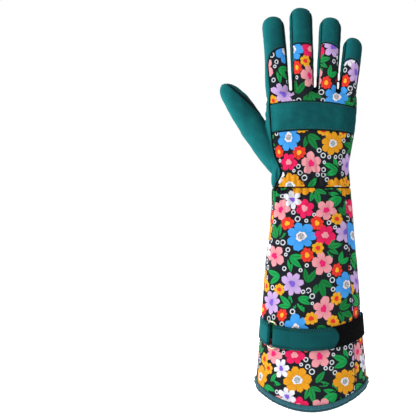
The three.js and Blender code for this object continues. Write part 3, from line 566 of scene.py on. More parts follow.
def panel_fields():
    """Each panel of the hand in the order in which it is cut from the skin."""
    band_top, band_foot = band_line(BAND_HIGH, BAND_DIP), band_line(BAND_LOW, 0)
    above = within(band_top + [(FAR, FAR), (-FAR, FAR)])
    below = within([(-FAR, -FAR), (FAR, -FAR)] + band_foot[::-1])
    band = within(band_foot + band_top[::-1])
    right_of = within(seam_line() + [(-HALF_PALM * 0.92, PALM_LENGTH * 1.02),
                                     (FAR, PALM_LENGTH * 1.02), (FAR, -PALM_LENGTH * 0.05)])
    forks = [fork(INDEX, MIDDLE), fork(MIDDLE, RING), fork(RING, LITTLE)]
    roots = within([
        (-HALF_PALM * 0.92, PALM_LENGTH * 0.80), (FAR, PALM_LENGTH * 0.80),
        (FAR, PALM_LENGTH * 0.96), (side_x(LITTLE, 1, PALM_LENGTH), PALM_LENGTH * 0.99),
        (side_x(INDEX, -1, PALM_LENGTH), PALM_LENGTH * 0.99)])
    prongs = either(roots, *[prong(name) for name in FINGERS])
    yield "finger_back_panel", both(in_front, prongs, above, *[outside(f) for f in forks])
    yield "back_panel", both(in_front, right_of, below)
    yield "knuckle_band", both(in_front, right_of, band)
    for name, field in zip(("index", "middle", "ring"), forks):
        yield "fork_strip_" + name, field
    for name, wrap, kind in (("index", 0.6, "touch"), ("middle", 0, "touch"),
                             ("ring", 0, "tip"), ("little", 0, "tip")):
        f = FINGERS[name]
        z, top = PALM_LENGTH + f["length"] * PATCH_FROM[name], top_of(f)
        outline = across_finger(f, z, top, -1 - wrap)
        if name == "middle":
            # it has a narrow rim of suede round its end
            round_at = top - TIP_ROUND * 2
            outline = within([(side_x(f, -1, z), z), (side_x(f, 1, z), z)] + [
                (side_x(f, c, round_at), round_at + TIP_ROUND * 0.86 * s) for c, s in (
                    (math.cos(t), math.sin(t)) for t in np.linspace(0, math.pi, 13))])
        yield f"{kind}_patch_{name}", both(outline, outside(before_middle))
    for name in ("middle", "ring"):
        f = FINGERS[name]
        z, top = PALM_LENGTH + f["length"] * 0.4, top_of(f)
        yield "tip_cap_" + name, both(across_finger(f, z, top), before_middle)
    foot, top = PALM_LENGTH + 2, top_of(LITTLE)
    yield "tip_cap_little", both(
        within([(side_x(LITTLE, -1, foot), foot), (FAR, foot), (FAR, top),
                (side_x(LITTLE, -1, top), top)]), before_middle)
    end = np.array([-THUMB_REACH, THUMB_RISE])
    root = np.array([-THUMB_REACH * THUMB["out"][3], THUMB_RISE * THUMB["up"][3]])
    way = unit(end - root)
    across = np.array([way[1], -way[0]])
    low = -THUMB_WIDTH * 0.08

    def corner(back, side):
        return tuple(end - way * back + across * side)

    yield "touch_patch_thumb", both(
        within([corner(TOUCH_LENGTH, low), corner(TOUCH_LENGTH, THUMB_WIDTH),
                corner(-TIP_ROUND, THUMB_WIDTH), corner(-TIP_ROUND, low)]), outside(before_thumb))
    wrap = within([(-FAR, -FAR), (-THUMB_REACH * 0.235, -FAR)] + thumb_palm_line() + [(-FAR, FAR)])
    back = both(before_thumb, within([
        (-FAR, -FAR), (-HALF_PALM * 0.55, -FAR), (-HALF_PALM * 0.55, PALM_LENGTH * 0.39),
        (-HALF_PALM * 0.99, PALM_LENGTH * 0.72), (-FAR, FAR)]))
    top = top_of(INDEX)
    edge = both(before_middle, within([
        (-FAR, 0), (-HALF_PALM * 0.3, 0), (-HALF_PALM * 0.3, PALM_LENGTH),
        (side_x(INDEX, 1, PALM_LENGTH), PALM_LENGTH), (side_x(INDEX, 1, top), top), (-FAR, top)]))
    yield "thumb_side_panel", either(wrap, back, edge)
    for name in PADS:
        yield name, both(within(pad_outline(name)), outside(before_middle))


def cut_hand():
    """The hand's skin, cut into its panels."""
    gaps = ((INDEX, MIDDLE, 0), (MIDDLE, RING, 4), (RING, LITTLE, 1))
    webs = [web(*gap, side) for gap in gaps for side in (-1, 1)]
    points, faces = joined([palm_loft(), thumb_loft()] + [finger_loft(f) for f in FINGERS.values()]
                           + webs)
    points, tris = remeshed(points, faces, VOXEL)
    points = eased(points, tris, 9)
    label = np.zeros(len(tris), int)
    points, tris, label, upper = split(points, tris, label, lambda p: p[:, 2] - GAP / 2, 0)
    tris, label = tris[upper], label[upper]
    names = ["palm_panel"]
    for name, field in panel_fields():
        points, tris, label, inside = split(points, tris, label, field, 0)
        label = np.where(inside, len(names), label)
        names.append(name)
    used, tris = np.unique(tris, return_inverse=True)
    return points[used], tris.reshape(-1, 3), label, names


# Distances to lines on the skin

def sampled(a, b, step=0.35):
    """Points along edges, given by their ends."""
    count = np.maximum(1, np.ceil(np.linalg.norm(b - a, axis=1) / step).astype(int))
    most = count.max()
    out = []
    for k in range(most + 1):
        pick = count >= k
        out.append(a[pick] + (b[pick] - a[pick]) * (k / count[pick])[:, None])
    return np.concatenate(out)


def nearest(points, targets, most=12.0):
    """Distance from each point to the nearest target, at most `most`."""
    tree = kdtree.KDTree(len(targets))
    for i, p in enumerate(targets):
        tree.insert(p, i)
    tree.balance()
    return np.array([min(tree.find(p)[2], most) for p in points])


def groove(d, depth, width):
    """The roll of a sewn edge: steep at the seam, flat a width away from it."""
    t = np.clip(1 - d / width, 0, 1)
    return depth * (1 - np.sqrt(np.maximum(0, 1 - t * t)))


# How high the padded panels stand, and how wide their round edge is
RAISED = {"knuckle_band": (1.3, 4.0), **{name: (1.5, 3.0) for name in PADS}}


def padding(points, tris, label, names, d):
    """Each vertex takes the height of its panels, which is nothing at a seam."""
    height = np.zeros(len(points))
    for k, name in enumerate(names):
        if name not in RAISED:
            continue
        most, width = RAISED[name]
        mine = np.unique(tris[label == k])
        t = np.clip(d[mine] / width, 0, 1)
        side = 1.0
        if name == "knuckle_band":
            side = 1 - 0.75 * smoothstep(0.72, 0.98, np.abs(points[mine, 0]) / HALF_PALM)
        height[mine] = np.maximum(height[mine], most * side * np.sqrt(1 - (1 - t) ** 2))
    height[d < 1e-6] = 0
    return height


def creases(points):
    """The folds of the palm, each a valley with a low ridge on either side."""
    x, y, z = points.T
    relief = np.zeros(len(points))
    for line, depth, width in PALM_CREASES:
        near = line_distance(x, z, smooth_line(line, 4 * len(line)))
        ridge = 0.35 * np.exp(-((near - 2 * width) / width) ** 2)
        relief -= depth * (np.exp(-(near / width) ** 2) - ridge)
    return relief * smoothstep(-2, 4, y - curl_at(z))


def shaped_hand():
    """The hand's panels with padding, seams, gathers and creases."""
    points, tris, label, names = cut_hand()
    edges, of = edges_of(tris)
    low, high = np.full(len(edges), 99), np.full(len(edges), -1)
    np.minimum.at(low, of.ravel(), np.repeat(label, 3))
    np.maximum.at(high, of.ravel(), np.repeat(label, 3))
    seam = edges[low != high]
    normal = normals_of(points, tris)
    lines = sampled(points[seam[:, 0]], points[seam[:, 1]])
    foot = points[np.abs(points[:, 2] - GAP / 2) < 1e-6]
    d = nearest(points, np.concatenate([lines, foot]))
    height = padding(points, tris, label, names, d)
    wobble = ripple(points, 5.0, 3, 2)
    x, y, z = points.T
    side_line = np.where(y < 0, line_distance(x, z, seam_line()), 99)
    deep = groove(d, 1.1, 1.7) * (1 + 0.25 * wobble) * (1 - 0.3 * smoothstep(0, 20, z - PALM_LENGTH))
    deep *= 1 + 0.6 * np.exp(-(side_line / 2.5) ** 2)
    # the pads are only stitched on, so that their edges are soft
    outlines = [pad_outline(name) for name in PADS]
    pad_line = np.min([line_distance(x, z, [*ring, ring[0]]) for ring in outlines], axis=0)
    soft = (y > 0) & (pad_line < 2.5)
    deep = np.where(soft, deep * 0.6, deep)
    deep *= 1 - 0.55 * np.exp(-((y - curl_at(z)) / 2.5) ** 2)
    # distance that sets the painted seam shade: wider along the seam on the thumb's side, and only faint
    # beside the pads
    shade = np.maximum(0, d - 0.4 * np.exp(-(side_line / 2.5) ** 4))
    shade = np.where(soft, np.maximum(shade, 0.78), shade)
    back = smoothstep(4, -8, y)
    # gathers of the elastic above the wrist seam, on the back
    around = np.arctan2(y / WRIST_DEPTH, x / WRIST_WIDTH)
    folds = gathers(around, 0.06 * z, (19, 27, 35, 46), 11)
    gathered = folds / 2.6 * np.exp(-(np.abs(z - 3) / 17.0) ** 1.6) * (0.15 + 1.9 * back)
    slack = ripple(points * [1, 1, 1.5], 26, 5, 2) * np.where(z > PALM_LENGTH, 0.25, 0.55)
    fine = ripple(points, 7, 8, 2) * 0.07
    relief = gathered * smoothstep(0, 5, d) + (slack + fine) * smoothstep(0, 4, d)
    shaped = points + normal * (height - deep + relief + creases(points))[:, None]
    return shaped, tris, label, names, shade, normal, points


# Pieces

def to_frame(points):
    """From the hand's own frame to the part's, in metres."""
    c, s = math.cos(HAND_TURN), math.sin(HAND_TURN)
    x, y, z = np.asarray(points).T
    return np.stack([x * c - y * s, x * s + y * c, z + CUFF_LENGTH], 1) * MM


def piece(name, points, faces, material, nodes=()):
    """A mesh object in metres that rides on the part and stands for CAD nodes."""
    me = bpy.data.meshes.new(name)
    points = np.asarray(points, np.float32)
    faces = np.asarray(faces)
    me.vertices.add(len(points))
    me.vertices.foreach_set("co", points.ravel())
    size = faces.shape[1]
    me.loops.add(faces.size)
    me.loops.foreach_set("vertex_index", faces.ravel().astype(np.int32))
    me.polygons.add(len(faces))
    me.polygons.foreach_set("loop_start", np.arange(0, faces.size, size, dtype=np.int32))
    me.polygons.foreach_set("use_smooth", np.full(len(faces), True))
    me.update(calc_edges=True)
    me.validate()
    ob = bpy.data.objects.new(name, me)
    scene.collection.objects.link(ob)
    me.materials.append(material)
    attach(ob, "root")
    if nodes:
        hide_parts(*nodes)
    return ob


def attribute(ob, name, kind, domain, values):
    """Values for the materials to read, kept on the mesh."""
    made = ob.data.attributes.new(name, kind, domain)
    key = {"FLOAT": "value", "FLOAT_VECTOR": "vector", "FLOAT_COLOR": "color"}[kind]
    made.data.foreach_set(key, np.asarray(values, np.float32).ravel())


def closed_piece(name, outer, inner, tris, material, nodes, seam, base):
    """A panel with an outer and an inner face and walls between them along its edge."""
    used, local = np.unique(tris, return_inverse=True)
    local = local.reshape(-1, 3)
    count = len(used)
    edges, of = edges_of(local)
    rim = np.bincount(of.ravel(), minlength=len(edges)) == 1
    ordered = np.concatenate([local[:, [0, 1]], local[:, [1, 2]], local[:, [2, 0]]])
    owner = np.concatenate([of[:, 0], of[:, 1], of[:, 2]])
    a, b = ordered[rim[owner]].T
    walls = np.concatenate([np.stack([b, a, a + count], 1), np.stack([b, a + count, b + count], 1)])
    faces = np.concatenate([local, local[:, ::-1] + count, walls])
    points = np.concatenate([to_frame(outer[used]), to_frame(inner[used])])
    ob = piece(name, points, faces, material, nodes)
    distance = np.concatenate([seam[used], np.full(count, NO_SEAM)])
    attribute(ob, "seam", "FLOAT", "POINT", distance)
    rest = np.concatenate([base[used], base[used]])
    attribute(ob, "rest", "FLOAT_VECTOR", "POINT", rest)
    return ob


def hand_cloth(rest):
    """Places on the printed cloth of the hand: millimetres across and up its back."""
    x, y, z = rest.T
    over = z > PALM_LENGTH
    centre = np.zeros(len(x))
    depth = curve(PALM["along"], PALM["deep"], z / PALM_LENGTH) * PALM_DEPTH / 2
    for f in FINGERS.values():
        mine = over & (np.abs(x - finger_x(f, z)) < f["width"] / 2 + 0.5)
        centre[mine] = finger_x(f, z[mine])
        depth[mine] = f["depth"] / 2
    off = np.maximum(0, depth - np.abs(y - curl_at(z)))
    off *= np.where(over, smoothstep(0, 12, z - PALM_LENGTH), 1)
    return np.stack([x + np.sign(x - centre) * off * 0.9 + 31, z + 3, np.zeros(len(x))], 1)


# Cuff

CUFF_TOP = CUFF_LENGTH - GAP / 2
CUFF = dict(
    along=[0.00, 0.30, 0.60, 0.85, 1.00], flare=[1.00, 0.72, 0.42, 0.13, 0.00],
    round=[1.00, 0.74, 0.46, 0.16, 0.00], turn=[0.0, 0.1, 0.4, 0.8, 1.0])


def hem_height(angle):
    return HEM_DROP * np.cos(angle) ** 2


def cuff_point(angle, z, out):
    """Points of the cuff at angles from +X towards the palm side, heights, and distances out."""
    angle, z, out = np.broadcast_arrays(*(np.asarray(v, float) for v in (angle, z, out)))
    along = np.clip(z / CUFF_TOP, 0, 1)
    flare, rounded, turn = (curve(CUFF["along"], CUFF[k], along) for k in ("flare", "round", "turn"))
    half_width = (WRIST_WIDTH + (MOUTH_WIDTH - WRIST_WIDTH) * flare) / 2 + out
    half_depth = (WRIST_DEPTH + (MOUTH_DEPTH - WRIST_DEPTH) * rounded) / 2 + out
    power = 2 / (2.5 - 0.5 * rounded)
    c, s = np.cos(angle), np.sin(angle)
    x = half_width * np.sign(c) * np.abs(c) ** power
    y = half_depth * np.sign(s) * np.abs(s) ** power
    t = turn * HAND_TURN
    return np.stack([x * np.cos(t) - y * np.sin(t), x * np.sin(t) + y * np.cos(t), z], -1)


def strap_height(degrees):
    """The strap's middle line round the cuff."""
    c = np.cos(np.radians(degrees))
    return STRAP_HEIGHT + STRAP_RISE * c - STRAP_SAG * (1 - c * c)


SLEEVE_SEAMS = (math.radians(-40), math.radians(180))
CUFF_RADIUS = 55.0                    # about the cuff's middle, to turn angles into lengths


def cuff_relief(angle, z):
    """How far the cuff's cloth stands out or in: gathers, soft folds and seams."""
    degrees = np.degrees(angle) % 360
    down = CUFF_TOP - z
    folds = gathers(angle, 0.035 * down, (17, 25, 33, 44), 4)
    relief = 0.9 * folds * np.exp(-(down / 15.0) ** 1.2)
    flat = np.stack([np.cos(angle) * 60, np.sin(angle) * 60, z * 0.55], -1).reshape(-1, 3)
    relief += 1.5 * ripple(flat, 58, 21, 2).reshape(np.shape(angle)) * smoothstep(0, 30, z)
    relief += 0.35 * ripple(flat, 19, 22, 2).reshape(np.shape(angle))
    # drawn in a little under the strap's end at the ring
    drawn = 224
    relief -= 0.9 * np.exp(-((degrees - drawn) / 9.0) ** 2 - ((z - strap_height(drawn)) / 17.0) ** 2)
    turns = [(angle - s + math.pi) % (2 * math.pi) - math.pi for s in SLEEVE_SEAMS]
    seam = np.min(np.abs(turns), axis=0) * CUFF_RADIUS
    relief -= groove(seam, 0.8, 1.5)
    # held flat under the strap
    strap = smoothstep(17, 12, np.abs(z - strap_height(degrees)))
    strap = strap * (smoothstep(160, 168, degrees) + smoothstep(16, 12, degrees))
    relief = np.clip(relief, -2.6, 0.8)
    return relief * (1 - strap) + np.clip(relief, -1.2, 0.1) * strap, seam


def grid_faces(rows, columns, closed=False):
    """Quads of a grid of points that goes round across its columns, and if closed over its rows too."""
    r, c = np.meshgrid(np.arange(rows if closed else rows - 1), np.arange(columns), indexing="ij")
    n, above = (c + 1) % columns, (r + 1) % rows * columns
    return np.stack([r * columns + c, r * columns + n, above + n, above + c], -1).reshape(-1, 4)


def make_sleeve(material):
    """The printed cuff, of two panels sewn together."""
    columns, rows, inner_rows = 400, 150, 40
    angle = 2 * math.pi * np.arange(columns) / columns + SLEEVE_SEAMS[0]
    low = hem_height(angle) + 1.6

    def heights(count):
        return low + (CUFF_TOP - low) * np.linspace(0, 1, count)[:, None]

    z = heights(rows)
    angles = np.broadcast_to(angle, z.shape)
    relief, seam = cuff_relief(angles, z)
    outer = cuff_point(angles, z, relief - groove(CUFF_TOP - z, 1.1, 2.2))
    z_in = heights(inner_rows)
    slack, _ = cuff_relief(np.broadcast_to(angle, z_in.shape), z_in)
    inner = cuff_point(angle, z_in, np.clip(slack, -1.5, 0) - CLOTH * 0.75)
    skin = rows * columns
    top, in_top = skin - columns, skin + (inner_rows - 1) * columns
    k = np.arange(columns)
    n = (k + 1) % columns
    faces = np.concatenate([
        grid_faces(rows, columns), grid_faces(inner_rows, columns)[:, ::-1] + skin,
        np.stack([n, k, k + skin, n + skin], 1),
        np.stack([top + k, top + n, in_top + n, in_top + k], 1)])
    points = np.concatenate([outer.reshape(-1, 3), inner.reshape(-1, 3)])
    ob = piece("cuff_sleeve_cloth", points * MM, faces, material, ["cuff_sleeve"])
    # places on the cloth: each panel is laid out from its own middle line
    plain = cuff_point(np.append(angle, angle[0] + 2 * math.pi), np.column_stack([z, z[:, 0]]), 0.0)
    run = np.cumsum(np.linalg.norm(np.diff(plain, axis=1), axis=2), axis=1)
    run = np.concatenate([np.zeros((rows, 1)), run], 1)
    back = int(round((SLEEVE_SEAMS[1] - SLEEVE_SEAMS[0]) / (2 * math.pi) * columns))
    cloth = np.zeros((len(faces), 4, 3))
    row, column = (v.ravel() for v in np.meshgrid(np.arange(rows - 1), k, indexing="ij"))
    middle = np.where(column < back, back // 2, (back + columns) // 2)
    shift = np.where(column < back, 61.0, 0.0)
    for corner, (up, across) in enumerate(((0, 0), (0, 1), (1, 1), (1, 0))):
        here = row + up
        cloth[:len(row), corner, 0] = run[here, column + across] - run[here, middle] + shift
        cloth[:len(row), corner, 1] = z[here, column % columns] - CUFF_TOP
    cloth[len(row):, :, 0] = 500
    lay_print(ob, cloth.reshape(-1, 3))
    # distance from the seams and the top edge, which sets the print's painted shade there
    far = np.full(points.shape[0], NO_SEAM)
    far[:skin] = np.minimum(seam, CUFF_TOP - z).ravel()
    attribute(ob, "seam", "FLOAT", "POINT", far)
    attribute(ob, "rest", "FLOAT_VECTOR", "POINT", points)
    return ob


# Print: a seeded scatter of plain flowers, leaves and rings on a square that repeats

REPEAT = 200.0


def linear(colour):
    c = np.array(colour, float) / 255
    return np.where(c <= 0.04045, c / 12.92, ((c + 0.055) / 1.055) ** 2.4)


INK = linear((22, 27, 33))
# Kinds of flower: how many, radius, petals, how deep they part, petal, heart, heart's share
FLOWERS = [
    (5, 15.5, 7, 0.33, (66, 160, 240), (244, 234, 234), 0.31),
    (7, 13.5, 8, 0.26, (232, 158, 30), (228, 236, 244), 0.32),
    (8, 12.5, 7, 0.46, (204, 172, 224), (126, 92, 206), 0.25),
    (9, 12.0, 5, 0.48, (238, 158, 166), (234, 34, 112), 0.27),
    (6, 11.0, 6, 0.34, (236, 30, 94), (238, 158, 166), 0.30),
    (8, 10.0, 6, 0.60, (236, 236, 244), (128, 92, 210), 0.24),
    (17, 7.2, 8, 0.26, (240, 58, 44), (250, 186, 44), 0.32),
    (15, 6.6, 7, 0.26, (240, 172, 38), (232, 54, 42), 0.36),
]
SPRIGS, SPRIG_SIZE = 40, 9.5
RINGS = 120
LEAVES = [(24, 162, 80), (18, 128, 60), (28, 146, 72)]


def away(a, b):
    """Differences on the repeating square."""
    return (a - b + REPEAT / 2) % REPEAT - REPEAT / 2


def print_layout():
    """Rows of place and turn, size, and colours for flowers, leaves and rings."""
    rng = np.random.default_rng(71)
    flowers, leaves, rings = [], [], []
    places, radii = np.zeros((0, 2)), np.zeros(0)

    def freest(size, count=500):
        """Of many random spots, the one with the most room for its size."""
        tries = rng.uniform(0, REPEAT, (count, 2))
        if not len(places):
            return tries[0], 9.0
        room = (np.linalg.norm(away(tries[:, None], places[None]), axis=2) - radii).min(1)
        best = np.argmax(room)
        return tries[best], room[best]

    sprig_row = (SPRIGS, SPRIG_SIZE, 0, 0, (0, 0, 0), (0, 0, 0), 0)
    for count, radius, petals, part, petal, heart, share in FLOWERS[:5] + [sprig_row] + FLOWERS[5:]:
        for _ in range(count):
            size = radius * rng.uniform(0.92, 1.08)
            best, _ = freest(size)
            places, radii = np.vstack([places, best]), np.append(radii, size * 0.9)
            if petals:
                flowers.append([*best, rng.uniform(0, 6.28), size, petals, part, share,
                                *linear(petal), *linear(heart)])
                continue
            heading = rng.uniform(0, 6.28)
            foot = best - np.array([math.cos(heading), math.sin(heading)]) * size * 0.75
            colour = linear(LEAVES[rng.integers(0, 3)])
            fans = ((-0.8, -0.05, 0.7), (-0.45, 0.5), (-1.0, -0.3, 0.35, 0.95))[rng.integers(0, 3)]
            for fan in fans:
                turn = heading + fan + rng.uniform(-0.1, 0.1)
                length = size * rng.uniform(1.5, 2.0) * (1 - 0.22 * abs(fan))
                middle = foot + np.array([math.cos(turn), math.sin(turn)]) * (length / 2 + 0.6)
                leaves.append([*middle, turn, length / 2, length * rng.uniform(0.15, 0.19), 0, 0,
                               *colour, *(colour * 0.42)])
    for _ in range(RINGS):
        best, room = freest(3, 900)
        size = float(np.clip(room * 0.95, 1.7, 3.6)) * rng.uniform(0.72, 1.0)
        places, radii = np.vstack([places, best]), np.append(radii, size)
        rings.append([*best, 0, size, 0, 0, 0, *linear((214, 218, 226)), *INK])
    return [np.array(rows) for rows in (flowers, leaves, rings)]


LAYOUT = print_layout()
# name, rows of the layout, how many may share a face
PRINT_LAYERS = [("flower", 0, 2), ("leaf", 1, 2), ("ring", 2, 1)]


def lay_print(ob, cloth):
    """Gives the mesh its places on the cloth, and each face the motifs that reach it."""
    me = ob.data
    attribute(ob, "cloth", "FLOAT_VECTOR", "CORNER", cloth)
    start = np.empty(len(me.polygons), np.int32)
    total = np.empty(len(me.polygons), np.int32)
    me.polygons.foreach_get("loop_start", start)
    me.polygons.foreach_get("loop_total", total)
    middle = np.add.reduceat(cloth[:, :2], start, axis=0) / total[:, None]
    reach = np.linalg.norm(cloth[start, :2] - middle, axis=1)
    for name, which, most in PRINT_LAYERS:
        rows = LAYOUT[which]
        sizes = rows[:, 3]
        hits = np.full((len(middle), most), -1)
        filled = np.zeros(len(middle), int)
        # the motifs drawn last lie on top, so they come first
        for k in range(len(rows) - 1, -1, -1):
            off = np.linalg.norm(away(middle, rows[k, :2]), axis=1)
            hit = np.nonzero((off < sizes[k] * 1.12 + reach + 0.3) & (filled < most))[0]
            hits[hit, filled[hit]] = k
            filled[hit] += 1
        for slot in range(most):
            k = hits[:, slot]
            row = rows[np.maximum(k, 0)]
            centre = middle - away(middle, row[:, :2])
            centre[k < 0] = 9000
            place = np.column_stack([centre, row[:, 2], row[:, 3]])
            shape = np.column_stack([row[:, 4], row[:, 5], row[:, 6], np.ones(len(row))])
            outside_colour = np.column_stack([row[:, 7:10], np.ones(len(row))])
            inside_colour = np.column_stack([row[:, 10:13], np.ones(len(row))])
            for part, values in (("place", place), ("shape", shape),
                                 ("outer", outside_colour), ("heart", inside_colour)):
                if name == "ring" and part in ("shape", "heart"):
                    continue
                attribute(ob, f"{name}{slot}_{part}", "FLOAT_COLOR", "FACE", values)


# Shader nodes, written as arithmetic

class Graph:
    """A material's nodes."""

    def __init__(self, name):
        self.material = bpy.data.materials.new(name)
        self.material.use_nodes = True
        self.tree = self.material.node_tree
        self.tree.nodes.clear()

    def node(self, kind, settings=None, **inputs):
        made = self.tree.nodes.new(kind)
        for key, value in (settings or {}).items():
            setattr(made, key, value)
        for key, value in inputs.items():
            self.feed(made.inputs[key.replace("_", " ")], value)
        return made

    def feed(self, socket, value):
        if isinstance(value, Signal):
            self.tree.links.new(value.socket, socket)
        elif hasattr(value, "__len__") and socket.type == "RGBA":
            socket.default_value = (*value[:3], 1.0)
        else:
            socket.default_value = value

    def math(self, operation, *values):
        made = self.node("ShaderNodeMath", dict(operation=operation))
        for socket, value in zip(made.inputs, values):
            self.feed(socket, value)
        return Signal(self, made.outputs[0])

    def attribute(self, name):
        made = self.node("ShaderNodeAttribute", dict(attribute_name=name))
        return {key: Signal(self, made.outputs[key]) for key in ("Color", "Vector", "Fac", "Alpha")}

    def split(self, vector):
        made = self.node("ShaderNodeSeparateXYZ", Vector=vector)
        return [Signal(self, out) for out in made.outputs]

    def noise(self, vector, scale, detail=2.0, roughness=0.5):
        made = self.node("ShaderNodeTexNoise", Vector=vector, Scale=scale, Detail=detail,
                         Roughness=roughness)
        return Signal(self, made.outputs["Fac"])

    def mix(self, fac, a, b):
        made = self.node("ShaderNodeMix", dict(data_type="RGBA"))
        self.feed(made.inputs[0], fac)
        self.feed(made.inputs[6], a)
        self.feed(made.inputs[7], b)
        return Signal(self, made.outputs[2])

    def step(self, x, low, high):
        """0 below low and 1 above high, with a smooth rise between."""
        made = self.node("ShaderNodeMapRange", dict(interpolation_type="SMOOTHSTEP"))
        for key, value in (("Value", x), ("From Min", low), ("From Max", high)):
            self.feed(made.inputs[key], value)
        return Signal(self, made.outputs[0])

    def bump(self, height, distance, strength):
        made = self.node("ShaderNodeBump", Height=height, Distance=distance, Strength=strength)
        return Signal(self, made.outputs[0])

    def finish(self, colour, normal=None, **settings):
        shader = self.node("ShaderNodeBsdfPrincipled")
        self.feed(shader.inputs["Base Color"], colour)
        for key, value in settings.items():
            self.feed(shader.inputs[key.replace("_", " ")], value)
        if normal:
            self.feed(shader.inputs["Normal"], normal)
        out = self.node("ShaderNodeOutputMaterial")
        self.tree.links.new(shader.outputs[0], out.inputs[0])
        return self.material


class Signal:
    """A node's output, for use in sums."""

    def __init__(self, graph, socket):
        self.graph, self.socket = graph, socket

    def __add__(self, other):
        return self.graph.math("ADD", self, other)

    def __sub__(self, other):
        return self.graph.math("SUBTRACT", self, other)

    def __rsub__(self, other):
        return self.graph.math("SUBTRACT", other, self)

    def __mul__(self, other):
        return self.graph.math("MULTIPLY", self, other)

    def __truediv__(self, other):
        return self.graph.math("DIVIDE", self, other)


def seam_shade(g, colour, dark, width):
    """Paints shade into the fold of a seam: the colour darkens within width of it."""
    seam = g.attribute("seam")["Fac"]
    return g.mix(g.step(seam, width * 0.35, width), dark, colour)


def suede(name, light, deep):
    """Soft split leather: cloudy colour, a fine nap and a sheen, with painted light on the side facing -X
    and painted shade along the seams.
    """
    g = Graph(name)
    place = g.attribute("rest")["Vector"]
    clouds = g.noise(place, 0.035, 3, 0.6)
    grain = g.noise(place, 1.1, 3, 0.65)
    # painted light and shade: faces turned to -X, towards the key light, are painted lighter and those
    # turned to +X darker, on top of the leather's own cloudy tone
    normal_x_for_painted_light, _, _ = g.split(Signal(g, g.node("ShaderNodeNewGeometry").outputs["Normal"]))
    tone = g.step(clouds * 0.4 + grain * 0.3 - normal_x_for_painted_light * 0.32, 0.08, 0.78)
    colour = g.mix(tone, linear(deep), linear(light))
    # painted shade: up to a third darker within a few millimetres of a seam, and near black in the seam's
    # fold
    seam = g.attribute("seam")["Fac"]
    colour = g.mix(g.step(seam, 0.3, 3.6) * 0.35 + 0.65, (0.0, 0.0, 0.0), colour)
    colour = seam_shade(g, colour, linear(deep) * 0.10, 0.95)
    normal = g.bump(grain + g.noise(place, 3.2, 2) * 0.5, 0.00022, 0.55)
    return g.finish(colour, normal, Roughness=0.95, Sheen_Weight=0.18, Sheen_Roughness=0.45,
                    Sheen_Tint=linear(light), Specular_IOR_Level=0.12)


